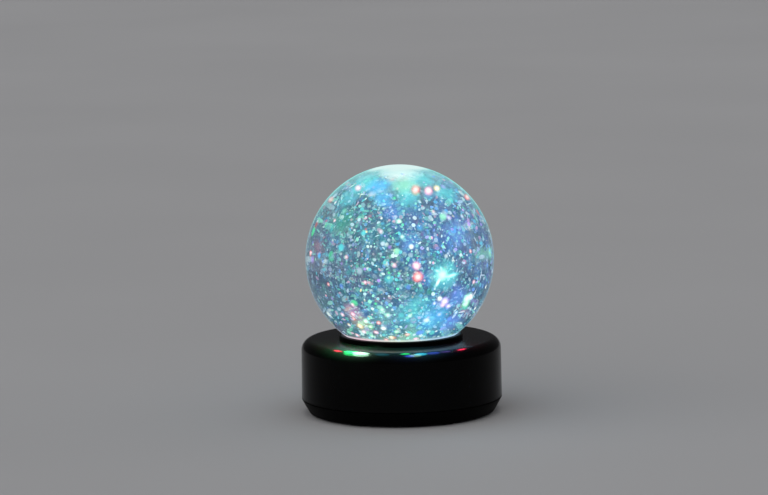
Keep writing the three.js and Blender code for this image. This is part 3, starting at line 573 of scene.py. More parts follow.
def brushed_metal(name, dark, light, roughness, direction=(900, 60, 900)):
    finish = Finish(name)
    lines = finish.grain(2.0, 3, place=finish.vector("MULTIPLY", finish.place(), direction))
    stain = finish.ease(finish.grain(180, 3), 0.5, 0.7)
    return finish.coat({
        "Base Color": finish.blend(finish.mottle(lines, dark, light, 0.35, 0.65), dark, 0.35 * stain),
        "Metallic": 1.0,
        "Roughness": roughness + (lines - 0.5) * 0.15 + 0.1 * stain,
        "Normal": finish.bump(lines, 0.15, BRUSH_DEPTH),
    })


def soft_rubber(name, dark, light, roughness):
    finish = Finish(name)
    far_glint = finish.cells(1500)
    cloud = finish.grain(140, 3)
    return finish.coat({
        "Base Color": finish.mottle(cloud, dark, light),
        "Roughness": roughness + (far_glint - 0.4) * 0.12,
        "Normal": finish.bump(far_glint, 0.2, RUBBER_GRAIN_DEPTH),
    })


def circuit_board():
    """Green lacquer over copper tracks, with tinned pads."""
    finish = Finish("circuit_board")
    settings = {"feature": "DISTANCE_TO_EDGE"}
    values = {"Vector": finish.place(), "Scale": 210}
    track = finish.add("ShaderNodeTexVoronoi", settings, values, "Distance")
    line = finish.ease(track, 0.10, 0.07)
    pad = finish.ease(finish.cells(260), 0.16, 0.12)
    cloud = finish.grain(90, 3)
    green = finish.mottle(cloud, tone(14, 78, 46), tone(18, 92, 54))
    colour = finish.blend(finish.blend(green, tone(34, 128, 74), line), tone(196, 198, 196), pad)
    return finish.coat({
        "Base Color": colour,
        "Metallic": pad * 0.9,
        "Roughness": 0.42 - 0.12 * pad + 0.05 * cloud,
        "Normal": finish.bump(line + pad, 0.3),
    })


def cell_wrap(name, plus_side):
    """A dry cell: dark wrap, coloured plus end, bare steel at both ends."""
    finish = Finish(name)
    low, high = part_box(name)
    _, y, _ = finish.axes()
    along = (y - (low.y + high.y) / 2) * (2 / (high.y - low.y)) * plus_side
    cloud = finish.grain(300, 3)
    wrap = finish.ramp(
        along * 0.5 + 0.5,
        [(0.0, tone(26, 30, 36)), (0.62, tone(214, 214, 208)), (0.64, tone(38, 118, 134))],
        "CONSTANT",
    )
    steel = finish.ease(abs(along), 0.955, 0.96)
    return finish.coat({
        "Base Color": finish.blend(wrap, tone(200, 202, 204), steel),
        "Metallic": steel,
        "Roughness": 0.28 + 0.12 * cloud,
        "Coat Weight": 0.3 - 0.3 * steel,
        "Normal": finish.bump(cloud, 0.08),
    })


def pale_floor():
    finish = Finish("pale_floor")
    colour = finish.mottle(finish.grain(3, 2), (0.60, 0.60, 0.61, 1), (0.64, 0.64, 0.65, 1), 0.2, 0.8)
    return finish.coat({"Base Color": colour, "Roughness": 0.75, "Specular IOR Level": 0.2})


def added(name, data):
    """A new object in the scene."""
    thing = bpy.data.objects.new(name, data)
    scene.collection.objects.link(thing)
    return thing


def mesh_from(body, name):
    """The mesh of a body under work, which is freed."""
    mesh = bpy.data.meshes.new(name)
    body.to_mesh(mesh)
    body.free()
    return mesh


def worked_out(thing):
    """An object's mesh with its modifiers or its letters worked out."""
    bpy.context.view_layer.update()
    return bpy.data.meshes.new_from_object(thing.evaluated_get(bpy.context.evaluated_depsgraph_get()))


# Camera
CAMERA_TARGET = Vector((0, 0, 60.8 * MM))
CAMERA_DISTANCE = 2046 * MM
CAMERA_RISE = math.radians(8.96)
CAMERA_ROLL = math.radians(-0.934)
camera_data = bpy.data.cameras.new("camera")
camera_data.lens = 181
camera_data.sensor_width = 36
camera_data.shift_x = -0.0213
camera_data.shift_y = 0.0655
camera_data.clip_start = 50 * MM
camera_data.clip_end = 50
camera = added("camera", camera_data)
outwards = Vector((0, -math.cos(CAMERA_RISE), math.sin(CAMERA_RISE)))
camera.location = CAMERA_TARGET + outwards * CAMERA_DISTANCE
level_view = (-outwards).to_track_quat("-Z", "Y").to_matrix().to_4x4()
camera.rotation_euler = (level_view @ Matrix.Rotation(CAMERA_ROLL, 4, "Z")).to_euler()
scene.camera = camera


# Shapes
def arc(centre_radius, centre_height, radius, start, end, steps):
    """Points of an arc in an outline, from one angle to the other, in degrees."""
    angles = [math.radians(start + (end - start) * i / steps) for i in range(steps + 1)]
    return [(centre_radius + radius * math.cos(a), centre_height + radius * math.sin(a)) for a in angles]


def finished(name, shape, material=None, sharp=35, replaced=()):
    """A piece of the lamp, smooth but for its edges, from a mesh or from a body under work."""
    mesh = mesh_from(shape, name) if isinstance(shape, bmesh.types.BMesh) else shape
    piece = added(name, mesh)
    mesh.shade_smooth()
    if sharp is not None:
        mesh.set_sharp_from_angle(angle=math.radians(sharp))
    if material is not None:
        mesh.materials.clear()
        mesh.materials.append(material)
    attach(piece, "lamp")
    if replaced:
        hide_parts(*replaced)
    return piece


def turned(outline, sides):
    """A closed body turned round the Z axis, from points of radius and height, closed on the axis."""
    body = bmesh.new()
    rings = []
    turns = [TURN * i / sides for i in range(sides)]
    for radius, height in outline:
        if radius == 0:
            rings.append([body.verts.new((0, 0, height))] * sides)
        else:
            spots = [(radius * math.cos(turn), radius * math.sin(turn), height) for turn in turns]
            rings.append([body.verts.new(spot) for spot in spots])
    for first, second in zip(rings, rings[1:] + rings[:1]):
        for i in range(sides):
            j = (i + 1) % sides
            corners = list(dict.fromkeys([first[i], first[j], second[j], second[i]]))
            if len(corners) > 2:
                body.faces.new(corners)
    bmesh.ops.recalc_face_normals(body, faces=body.faces)
    return body


def rod(radius, low, high, spot, sides=SMALL):
    body = bmesh.new()
    place = Matrix.Translation((spot[0], spot[1], (low + high) / 2))
    bmesh.ops.create_cone(
        body, cap_ends=True, segments=sides, radius1=radius, radius2=radius, depth=high - low, matrix=place
    )
    return body


def block(x_span, y_span, z_span):
    spans = (x_span, y_span, z_span)
    centre = [(low + high) / 2 for low, high in spans]
    size = [high - low for low, high in spans]
    body = bmesh.new()
    bmesh.ops.create_cube(body, size=1, matrix=Matrix.Translation(centre) @ Matrix.Diagonal((*size, 1)))
    return body


def plate(half_x, half_y, corner, low, high, steps=8):
    """A flat plate with round corners."""
    body = bmesh.new()
    centres = [(1, 1, 0), (-1, 1, 90), (-1, -1, 180), (1, -1, 270)]
    points = []
    for side_x, side_y, start in centres:
        centre = (side_x * (half_x - corner), side_y * (half_y - corner))
        points += arc(*centre, corner, start, start + 90, steps)
    face = body.faces.new([body.verts.new((x, y, low)) for x, y in points])
    lifted = bmesh.ops.extrude_face_region(body, geom=[face])["geom"]
    moved = [part for part in lifted if isinstance(part, bmesh.types.BMVert)]
    bmesh.ops.translate(body, verts=moved, vec=(0, 0, high - low))
    bmesh.ops.recalc_face_normals(body, faces=body.faces)
    return body


# Where two cuts touch, points closer than this are made one, and holes with so few sides are filled
WELD = 0.002 * MM
SLIVER_SIDES = 4


def carved(body, tools, operation):
    """A body with other bodies joined to it or cut out of it, one after the other."""
    mesh = mesh_from(body, "work")
    for tool in tools:
        work = added("work", mesh)
        other = added("tool", mesh_from(tool, "tool"))
        change = work.modifiers.new("change", "BOOLEAN")
        change.operation = operation
        change.solver = "EXACT"
        change.object = other
        result = worked_out(work)
        for used in (work, other):
            used_mesh = used.data
            bpy.data.objects.remove(used)
            bpy.data.meshes.remove(used_mesh)
        mesh = result
    made = bmesh.new()
    made.from_mesh(mesh)
    bpy.data.meshes.remove(mesh)
    bmesh.ops.remove_doubles(made, verts=made.verts, dist=WELD)
    open_edges = [edge for edge in made.edges if edge.is_boundary]
    bmesh.ops.holes_fill(made, edges=open_edges, sides=SLIVER_SIDES)
    return made


def middle_of(node):
    low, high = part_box(node)
    return (low + high) / 2


# Base
shell_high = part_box("base_shell")[1]
WAIST_RADIUS = shell_high.x
BASE_TOP = shell_high.z
TOP_RADIUS = WAIST_RADIUS - SIDE_DRAFT
SHELL_BORE = TOP_RADIUS - SHELL_WALL
collar_low, collar_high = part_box("collar_ring")
COLLAR_TOP = collar_high.z
COLLAR_RADIUS = collar_high.x
COLLAR_BOTTOM = collar_low.z
SPIGOT_RADIUS = COLLAR_RADIUS - COLLAR_OVERHANG
HOLE_RADIUS = SPIGOT_RADIUS + FIT_GAP
CLEAR_RADIUS = GLOBE_RADIUS + FIT_GAP
SEAT_RADIUS = CLEAR_RADIUS + GASKET_THICKNESS + FIT_GAP
COLLAR_BORE = NECK_RADIUS + 2 * FIT_GAP
head_low, head_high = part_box("cover_screw_1")
HEAD_ROOM = (head_high.x - head_low.x) / 2 + FIT_GAP
door_low, door_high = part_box("battery_door")
EAR_END = door_high.x + FIT_GAP
SWITCH_X = middle_of("switch_body").x


def numbered(name, count):
    return [f"{name}_{i}" for i in range(1, count + 1)]


COVER_SCREWS = numbered("cover_screw", 4)
BOARD_SCREWS = numbered("board_screw", 2)
COLLAR_SCREWS = numbered("collar_screw", 3)
BOX_SCREWS = numbered("box_screw", 2)
COVER_BOTTOM = door_low.z
COVER_TOP = COVER_BOTTOM + COVER_THICKNESS
COVER_BOSS_TOP = COVER_TOP + BOSS_HEIGHT
PARTING_HEIGHT = COVER_BOTTOM + RIM_HEIGHT


def screw_seat(screw):
    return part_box(screw)[0].z + HEAD_HEIGHT


def bore_for(screw, gap=THREAD_GAP):
    """The hole for a screw's shank, from under its head to a little past its tip."""
    place = middle_of(screw)
    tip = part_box(screw)[1].z
    return rod(SCREW_RADIUS + gap, screw_seat(screw) - OVERRUN, tip + BORE_END, place)


def web_to_wall(place, low, high):
    """The web that joins a screw post to the shell's wall."""
    reach = (math.hypot(place.x, place.y), SHELL_BORE + SHELL_WALL / 2)
    web = block(reach, (-WEB_THICKNESS / 2, WEB_THICKNESS / 2), (low, high))
    turning = Matrix.Rotation(math.atan2(place.y, place.x), 3, "Z")
    bmesh.ops.rotate(web, verts=web.verts, cent=(0, 0, 0), matrix=turning)
    return web


def base_shell(material):
    """The shell, its ledge under the collar, and the posts that cover and board are screwed to."""
    ceiling = BASE_TOP - SHELL_WALL
    ledge_top = COLLAR_BOTTOM - FIT_GAP
    ledge_bottom = ledge_top - LEDGE_THICKNESS
    low = PARTING_HEIGHT + PARTING_GAP / 2
    outline = [
        *arc(WAIST_RADIUS - EDGE_ROUND, low + EDGE_ROUND, EDGE_ROUND, -90, 0, 4),
        *arc(TOP_RADIUS - SHOULDER_RADIUS, BASE_TOP - SHOULDER_RADIUS, SHOULDER_RADIUS, 0, 90, 18),
        (HOLE_RADIUS, BASE_TOP),
        (HOLE_RADIUS, ledge_top),
        (NECK_RADIUS + LEDGE_REACH, ledge_top),
        (NECK_RADIUS + LEDGE_REACH, ledge_bottom),
        (HOLE_RADIUS + SHELL_WALL, ledge_bottom),
        (HOLE_RADIUS + SHELL_WALL, ceiling),
        *arc(SHELL_BORE - INNER_CORNER, ceiling - INNER_CORNER, INNER_CORNER, 90, 0, 6),
        (SHELL_BORE, low),
    ]
    board_low, board_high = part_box("led_board")
    post_top = board_low.z - FIT_GAP
    joined = []
    for place in map(middle_of, COVER_SCREWS):
        joined.append(rod(POST_RADIUS, COVER_BOSS_TOP + FIT_GAP, post_top, place))
        joined.append(web_to_wall(place, PARTING_HEIGHT + TONGUE_HEIGHT + OVERRUN, post_top))
    for place in map(middle_of, BOARD_SCREWS):
        joined.append(rod(BOARD_POST_RADIUS, board_high.z, ceiling + SHELL_WALL / 2, place))
    bores = [bore_for(screw) for screw in COVER_SCREWS + BOARD_SCREWS + COLLAR_SCREWS]
    body = carved(carved(turned(outline, FINE), joined, "UNION"), bores, "DIFFERENCE")
    return finished("black_base_shell", body, material, replaced=["base_shell"])


def collar_ring(material):
    """The ring round the ball, with the groove that holds the gasket."""
    lip_dip = -math.degrees(math.acos((COLLAR_RADIUS - COLLAR_LIP) / CLEAR_RADIUS))
    bore_dip = -math.degrees(math.acos(COLLAR_BORE / CLEAR_RADIUS))
    groove_low, groove_high = (bore_dip + (lip_dip - bore_dip) * share for share in GROOVE_SHARES)
    outline = [
        *arc(COLLAR_RADIUS - COLLAR_EDGE, COLLAR_TOP - COLLAR_EDGE, COLLAR_EDGE, 90, 0, 8),
        (COLLAR_RADIUS, BASE_TOP),
        (SPIGOT_RADIUS, BASE_TOP),
        (SPIGOT_RADIUS, COLLAR_BOTTOM),
        (COLLAR_BORE, COLLAR_BOTTOM),
        *arc(0, GLOBE_HEIGHT, CLEAR_RADIUS, bore_dip, groove_low, 3),
        *arc(0, GLOBE_HEIGHT, SEAT_RADIUS, groove_low, groove_high, 8),
        *arc(0, GLOBE_HEIGHT, CLEAR_RADIUS, groove_high, lip_dip, 5),
    ]
    body = carved(turned(outline, FINE), [bore_for(screw) for screw in COLLAR_SCREWS], "DIFFERENCE")
    return finished("black_collar_ring", body, material, replaced=["collar_ring"])


def cover_bosses():
    """What stands on the cover's inside: screw bosses, pads under ear and switch, the switch's stakes."""
    foot = COVER_TOP - OVERRUN
    bosses = []
    for place in map(middle_of, COVER_SCREWS):
        bosses.append(rod(HEAD_ROOM + BOSS_WALL, foot, COVER_BOSS_TOP, place))
    for place in map(middle_of, BOX_SCREWS):
        bosses.append(rod(BOX_BOSS_RADIUS, foot, COVER_TOP + BOX_BOSS_HEIGHT, place))
    pad_x = (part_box("battery_box")[1].x + FIT_GAP, EAR_END + EAR_PAD_WALL)
    pad_y = EAR_HALF_WIDTH + FIT_GAP + EAR_PAD_WALL
    bosses.append(block(pad_x, (-pad_y, pad_y), (foot, COVER_TOP + EAR_PAD_HEIGHT)))
    screw = middle_of("door_screw")
    boss_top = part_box("door_screw")[1].z + BORE_END + EAR_PAD_WALL
    bosses.append(rod(DOOR_BOSS_RADIUS, foot, boss_top, screw))
    low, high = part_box("switch_body")
    pad_spans = [(low[i] - SWITCH_PAD_MARGIN, high[i] + SWITCH_PAD_MARGIN) for i in range(2)]
    bosses.append(block(*pad_spans, (foot, low.z)))
    head_bottom = low.z + FLANGE_THICKNESS + FIT_GAP
    for y in (-STAKE_PLACE, STAKE_PLACE):
        bosses.append(rod(STAKE_RADIUS, foot, head_bottom + STAKE_HEAD_HEIGHT / 2, (SWITCH_X, y)))
        bosses.append(rod(STAKE_HEAD_RADIUS, head_bottom, head_bottom + STAKE_HEAD_HEIGHT, (SWITCH_X, y)))
    return bosses


def cover_cuts():
    """What is cut from the cover: seats of screws and feet, the door's opening, the switch's pocket."""
    below = COVER_BOTTOM - OVERRUN
    above = COVER_TOP + OVERRUN
    cuts = []
    for screw in COVER_SCREWS:
        place = middle_of(screw)
        cuts.append(rod(HEAD_ROOM, below, screw_seat(screw), place))
    cuts += [bore_for(screw, FIT_GAP) for screw in COVER_SCREWS] + [bore_for(screw) for screw in BOX_SCREWS]
    foot_low, foot_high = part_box("foot_pad_1")
    foot_radius = (foot_high.x - foot_low.x) / 2 + FIT_GAP
    for place in map(middle_of, numbered("foot_pad", 4)):
        cuts.append(rod(foot_radius, below, foot_high.z, place, MEDIUM))
    cuts.append(plate(DOOR_HALF_WIDTH + FIT_GAP, door_high.y + FIT_GAP, DOOR_CORNER, below, above))
    box_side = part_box("battery_box")[1].x
    across_ear = (-EAR_HALF_WIDTH - FIT_GAP, EAR_HALF_WIDTH + FIT_GAP)
    cuts.append(block((DOOR_HALF_WIDTH - OVERRUN, box_side + FIT_GAP), across_ear, (below, above)))
    ear_top = COVER_BOTTOM + DOOR_THICKNESS + FIT_GAP
    cuts.append(block((box_side, EAR_END), across_ear, (below, ear_top)))
    screw = middle_of("door_screw")
    bore_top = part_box("door_screw")[1].z + BORE_END
    cuts.append(rod(SCREW_RADIUS + DOOR_SCREW_ROOM, below, bore_top, screw))
    knob_low, knob_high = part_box("switch_knob")
    half_length = (knob_high.y - knob_low.y + SWITCH_TRAVEL) / 2 + POCKET_MARGIN
    across_pocket = (knob_low.x - POCKET_MARGIN, knob_high.x + POCKET_MARGIN)
    cuts.append(block(across_pocket, (-half_length, half_length), (below, COVER_BOTTOM + POCKET_DEPTH)))
    across_slot = (SWITCH_X - SLOT_HALF_WIDTH, SWITCH_X + SLOT_HALF_WIDTH)
    slot_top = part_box("switch_body")[0].z + OVERRUN
    cuts.append(block(across_slot, (-SLOT_HALF_LENGTH, SLOT_HALF_LENGTH), (below, slot_top)))
    return cuts


def bottom_cover(material):
    """The cover, whose chamfered rim is the foot of the base, with its tongue inside the shell."""
    rim_top = PARTING_HEIGHT - PARTING_GAP / 2
    face_radius = WAIST_RADIUS - RIM_CHAMFER
    slope = math.degrees(math.atan2(RIM_HEIGHT, RIM_CHAMFER))
    tongue = SHELL_BORE - FIT_GAP
    tongue_inner = tongue - TONGUE_THICKNESS
    outline = [
        (0, COVER_BOTTOM),
        *arc(face_radius - RIM_EDGE, COVER_BOTTOM + RIM_EDGE, RIM_EDGE, -90, slope - 90, 6),
        *arc(WAIST_RADIUS - EDGE_ROUND, rim_top - EDGE_ROUND, EDGE_ROUND, slope - 90, 90, 6),
        (tongue, rim_top),
        (tongue, PARTING_HEIGHT + TONGUE_HEIGHT),
        (tongue_inner, PARTING_HEIGHT + TONGUE_HEIGHT),
        (tongue_inner, COVER_TOP + TONGUE_INSET),
        (tongue_inner - TONGUE_INSET, COVER_TOP),
        (0, COVER_TOP),
    ]
    body = carved(carved(turned(outline, FINE), cover_bosses(), "UNION"), cover_cuts(), "DIFFERENCE")
    return finished("black_bottom_cover", body, material, replaced=["bottom_cover"])


def switch_marks(material):
    """The words printed at the two ends of the switch, to be read from below."""
    below_cover = Matrix.Translation((SWITCH_X, 0, COVER_BOTTOM - MARK_DEPTH / 2))
    body = bmesh.new()
    for word, y in (("ON", MARK_PLACE), ("OFF", -MARK_PLACE)):
        letters = bpy.data.curves.new(word, "FONT")
        letters.body = word
        letters.size = MARK_SIZE
        letters.extrude = MARK_DEPTH
        letters.align_x = letters.align_y = "CENTER"
        holder = added(word, letters)
        mesh = worked_out(holder)
        bpy.data.objects.remove(holder)
        mesh.transform(Matrix.Translation((0, y, 0)) @ below_cover @ Matrix.Rotation(math.pi, 4, "Y"))
        body.from_mesh(mesh)
        bpy.data.meshes.remove(mesh)
    bmesh.ops.remove_doubles(body, verts=body.verts, dist=WELD)
    return finished("switch_marks", body, material)


# Ball
def clear_ball(material):
    """The clear wall and the liquid as one lens: the ball, its neck, and the hollow for the stopper."""
    neck_dip = -math.degrees(math.acos(NECK_RADIUS / GLOBE_RADIUS))
    outline = [
        (0, GLOBE_HEIGHT + GLOBE_RADIUS),
        *arc(0, GLOBE_HEIGHT, GLOBE_RADIUS, POLE_ANGLE, neck_dip, 100),
        (NECK_RADIUS, globe_low.z),
        (NECK_BORE, globe_low.z),
        (NECK_BORE, PLUG_TOP + PLUG_GAP),
        (0, PLUG_TOP + PLUG_GAP),
    ]
    return finished("clear_ball", turned(outline, FINE), material, replaced=["globe_shell"])


def grown(name, build, sizes, source=None):
    """A plain mesh from a geometry node tree with named inputs."""
    tree = bpy.data.node_groups.new(name, "GeometryNodeTree")
    face = tree.interface
    face.new_socket("Geometry", in_out="OUTPUT", socket_type="NodeSocketGeometry")
    if source is not None:
        face.new_socket("Places", in_out="INPUT", socket_type="NodeSocketGeometry")
    sockets = {}
    for label, value in sizes.items():
        kind = "NodeSocketInt" if isinstance(value, int) else "NodeSocketFloat"
        sockets[label] = face.new_socket(label, in_out="INPUT", socket_type=kind)
    nodes = Nodes(tree)
    entry = nodes.add("NodeGroupInput").socket.node
    given = {socket.name: Link(nodes, socket) for socket in entry.outputs if socket.name}
    nodes.add("NodeGroupOutput", values={0: build(nodes, given)})
    holder = added(name, source or bpy.data.meshes.new(name))
    modifier = holder.modifiers.new("grow", "NODES")
    modifier.node_group = tree
    for label, value in sizes.items():
        modifier[sockets[label].identifier] = value
    mesh = worked_out(holder)
    holder.modifiers.remove(modifier)
    bpy.data.objects.remove(holder)
    return mesh


def chance(nodes, low, high, seed, step):
    """A random number for each point or instance."""
    values = {2: low, 3: high, 8: seed + step}
    return nodes.add("FunctionNodeRandomValue", {"data_type": "FLOAT"}, values, output=1)


def in_ball(nodes, reach, seed, power):
    """Places spread through a ball, the more crowded outwards the higher the power."""
    up = chance(nodes, -1.0, 1.0, seed, 1)
    around = chance(nodes, 0.0, TURN, seed, 2)
    out = chance(nodes, 0.0, 1.0, seed, 3) ** (1 / power) * reach
    flat = nodes.math("SQRT", 1 - up * up)
    cosine = nodes.math("COSINE", around)
    sine = nodes.math("SINE", around)
    values = {0: cosine * flat * out, 1: sine * flat * out, 2: up * out + GLOBE_HEIGHT}
    return nodes.add("ShaderNodeCombineXYZ", values=values)


def stored(nodes, geometry, name, value, domain):
    settings = {"data_type": "FLOAT", "domain": domain}
    values = {"Geometry": geometry, "Name": name, "Value": value}
    return nodes.add("GeometryNodeStoreNamedAttribute", settings, values)


def outwards_from(nodes, spots, seed, looseness):
    """A turning that aims the Z axis away from the ball's centre, more or less."""
    away = nodes.vector("SUBTRACT", spots, (0, 0, GLOBE_HEIGHT))
    straight = nodes.vector("NORMALIZE", away)
    values = {0: (-looseness,) * 3, 1: (looseness,) * 3, 8: seed}
    astray = nodes.add("FunctionNodeRandomValue", {"data_type": "FLOAT_VECTOR"}, values)
    aim = nodes.vector("ADD", straight, astray)
    return nodes.add("FunctionNodeAlignRotationToVector", {"axis": "Z"}, {"Vector": aim})


def six_sided_flake(nodes):
    values = {"Vertices": 6, "Radius": 1.0, "Depth": 0.14}
    return nodes.add("GeometryNodeMeshCylinder", {"fill_type": "NGON"}, values)


def soft_lens(nodes):
    """A flat lens-shaped body, with an attribute that falls from one in its middle to zero at its edge."""
    ball = nodes.add("GeometryNodeMeshUVSphere", values={"Segments": 12, "Rings": 6, "Radius": 1.0})
    position = nodes.add("GeometryNodeInputPosition")
    flat = nodes.vector("MULTIPLY", position, (1, 1, 0))
    away = nodes.vector("LENGTH", flat, output="Value")
    cored = stored(nodes, ball, "core", 1 - away, "POINT")
    return nodes.add("GeometryNodeTransform", values={"Geometry": cored, "Scale": (1, 1, 0.12)})


def with_material(nodes, geometry, material):
    realized = nodes.add("GeometryNodeRealizeInstances", values={"Geometry": geometry})
    return nodes.add("GeometryNodeSetMaterial", values={"Geometry": realized, "Material": material})


def scattered(name, material, shape, sizes, crowding, looseness, curve, tints, shines, sharp):
    """Copies of a small shape, hung through the liquid, each with a size, turning, tint and shine."""

    def build(nodes, given):
        seed = given["Seed"]
        spots = in_ball(nodes, given["Reach"], seed, crowding)
        spread = chance(nodes, 0.0, 1.0, seed, 4) ** curve
        values = {
            "Points": nodes.add("GeometryNodePoints", values={"Count": given["Count"], "Position": spots}),
            "Instance": shape(nodes),
            "Rotation": outwards_from(nodes, spots, seed, looseness),
            "Scale": given["Smallest"] + (given["Largest"] - given["Smallest"]) * spread,
        }
        placed = nodes.add("GeometryNodeInstanceOnPoints", values=values)
        for step, (label, span) in enumerate((("tint", tints), ("shine", shines)), 5):
            placed = stored(nodes, placed, label, chance(nodes, *span, seed, step), "INSTANCE")
        return with_material(nodes, placed, material)

    made = grown(name, build, sizes)
    return finished(name, made, None, sharp=sharp, replaced=["liquid_fill"])


def glitter_flakes(material):
    """Thin six-sided flakes, turned outwards more or less."""
    chances = {"crowding": 2.6, "looseness": 0.9, "curve": 1.8, "tints": (0.0, 1.0), "shines": (0.0, 1.0)}
    return scattered("glitter_flakes", material, six_sided_flake, FLAKES, **chances, sharp=30)


def glitter_glow(material):
    """Glitter out of focus: soft gleams that turn their faces outwards."""
    chances = {"crowding": 4.0, "looseness": 0.0, "curve": 2.0, "tints": (0.0, 0.91), "shines": (0.2, 1.0)}
    return scattered("glitter_glow", material, soft_lens, GLOWS, **chances, sharp=None)


# Tints of the gleams, as places on the flakes' ramp
TINTS = [place + 0.01 for place, _ in FLAKE_TONES[:-1]]
WHITE, MINT, ICE, CYAN, AZURE, GREEN, BLUE, VIOLET, PINK, RED, AMBER = TINTS

# Gleams that stand out from the front: across and up as shares of the ball's radius, size in
# millimetres, tint and shine
FRONT_GLEAMS = [
    (0.46, -0.19, 5.6, MINT, 1.00),
    (0.72, -0.45, 4.4, MINT, 1.00),
    (0.76, -0.43, 3.0, WHITE, 1.00),
    (0.71, -0.50, 5.2, GREEN, 0.55),
    (0.48, -0.48, 4.2, VIOLET, 0.80),
    (0.195, -0.21, 4.4, RED, 1.00),
    (0.18, -0.09, 3.6, PINK, 0.85),
    (-0.06, -0.08, 2.1, PINK, 0.45),
    (-0.96, 0.07, 2.6, RED, 0.55),
    (-0.70, 0.42, 1.6, PINK, 0.50),
    (-0.78, -0.27, 1.8, RED, 0.45),
    (-0.38, -0.26, 1.8, PINK, 0.50),
    (0.77, 0.06, 1.8, RED, 0.45),
    (0.80, -0.27, 2.0, PINK, 0.50),
    (0.13, 0.12, 2.2, WHITE, 0.80),
    (0.00, 0.40, 2.4, MINT, 0.60),
    (0.03, 0.23, 2.2, MINT, 0.50),
    (-0.20, 0.29, 2.0, PINK, 0.35),
    (0.54, 0.43, 2.6, VIOLET, 0.35),
    (-0.52, -0.60, 2.4, PINK, 0.55),
    (-0.56, -0.71, 2.0, AMBER, 0.45),
    (-0.51, -0.65, 2.0, RED, 0.45),
    (-0.44, -0.73, 3.0, AMBER, 0.65),
    (-0.38, -0.68, 2.8, MINT, 0.80),
    (-0.33, -0.74, 2.4, GREEN, 0.70),
    (-0.24, -0.70, 2.2, RED, 0.65),
    (-0.40, -0.79, 2.2, PINK, 0.60),
    (-0.19, -0.76, 2.6, WHITE, 0.60),
    (-0.14, -0.62, 2.6, MINT, 0.50),
    (-0.10, -0.86, 2.8, AMBER, 0.45),
    (0.07, -0.83, 2.2, RED, 0.55),
    (0.10, -0.63, 2.4, MINT, 0.50),
    (0.28, -0.68, 3.0, ICE, 0.70),
    (0.46, -0.52, 2.4, PINK, 0.55),
    (0.42, -0.62, 2.8, BLUE, 0.45),
    (0.60, -0.60, 2.6, AZURE, 0.45),
    (-0.20, -0.56, 2.2, MINT, 0.45),
    (0.43, -0.45, 2.4, WHITE, 0.65),
    (0.52, -0.53, 2.8, VIOLET, 0.60),
    (0.37, -0.50, 2.2, BLUE, 0.60),
    (-0.63, -0.60, 2.2, PINK, 0.50),
    (-0.47, -0.82, 2.4, PINK, 0.60),
    (-0.31, -0.84, 2.2, GREEN, 0.55),
    (-0.27, -0.80, 2.4, PINK, 0.60),
    (-0.16, -0.88, 2.2, RED, 0.50),
    (-0.05, -0.80, 2.4, GREEN, 0.50),
    (0.16, -0.88, 2.2, PINK, 0.50),
    (0.30, -0.80, 2.2, MINT, 0.50),
    (-0.52, -0.50, 1.8, PINK, 0.45),
    (-0.58, 0.02, 2.0, PINK, 0.35),
    (0.80, -0.55, 1.8, WHITE, 0.60),
    (0.92, -0.32, 1.6, WHITE, 0.60),
]

# Streaks among them: as the gleams, and their length over width and slant in degrees
FRONT_STREAKS = [
    (0.51, -0.21, 1.6, MINT, 0.95, 4.0, -8),
    (0.56, -0.20, 2.0, CYAN, 0.75, 3.6, 4),
    (0.42, -0.26, 1.5, WHITE, 0.90, 3.6, 62),
    (0.45, -0.13, 1.4, CYAN, 0.60, 2.6, -70),
    (0.41, -0.15, 1.6, CYAN, 0.50, 2.4, -20),
    (0.00, 0.39, 1.2, MINT, 0.60, 2.2, 8),
    (0.185, 0.740, 3.8, RED, 0.72, 1.7, 77),
    (0.325, 0.728, 3.6, PINK, 0.82, 1.6, 67),
    (0.415, 0.752, 2.8, AMBER, 0.74, 1.6, 62),
    (-0.44, 0.770, 2.9, PINK, 0.74, 1.7, 120),
    (0.735, 0.650, 3.0, RED, 1.00, 2.8, 42),
    (-0.955, 0.08, 1.3, PINK, 0.60, 2.6, -5),
    (-0.50, 0.79, 1.0, MINT, 0.45, 4.0, 36),
    (0.875, -0.20, 0.5, ICE, 0.50, 12.0, 77),
    (0.800, -0.40, 0.5, ICE, 0.50, 11.0, 62),
]

# Broad soft patches of light, given as the gleams are
FRONT_WASHES = [
    (-0.22, 0.79, 9.5, AZURE, 0.50),
    (-0.16, 0.64, 7.0, AZURE, 0.35),
    (-0.08, 0.50, 7.0, BLUE, 0.20),
    (0.02, 0.93, 15.0, WHITE, 0.45),
    (0.25, 0.86, 11.0, CYAN, 0.30),
    (0.07, 0.79, 10.0, MINT, 0.34),
    (0.10, 0.66, 9.0, CYAN, 0.28),
    (-0.36, 0.82, 11.0, CYAN, 0.35),
    (-0.54, 0.68, 10.0, CYAN, 0.20),
    (0.52, 0.70, 10.0, CYAN, 0.28),
    (0.48, -0.20, 12.0, CYAN, 0.32),
    (0.62, -0.42, 9.0, BLUE, 0.25),
    (0.35, -0.66, 14.0, AZURE, 0.32),
    (0.55, -0.70, 9.0, BLUE, 0.30),
    (-0.42, -0.70, 9.0, AMBER, 0.13),
    (-0.52, -0.58, 8.0, PINK, 0.14),
    (-0.20, -0.62, 11.0, MINT, 0.08),
    (0.08, -0.62, 11.0, CYAN, 0.16),
    (0.20, -0.50, 10.0, CYAN, 0.18),
    (-0.62, 0.40, 12.0, GREEN, 0.10),
    (0.62, 0.25, 12.0, BLUE, 0.18),
    (0.10, 0.16, 8.0, BLUE, 0.18),
]


rightwards = Vector((1, 0, 0))
upwards = outwards.cross(rightwards)


def seen_from_front(across, rise):
    """The place in a ball of radius one that shows from the front, across and up as given."""
    return rightwards * across + upwards * rise + outwards * math.sqrt(1 - across ** 2 - rise ** 2)


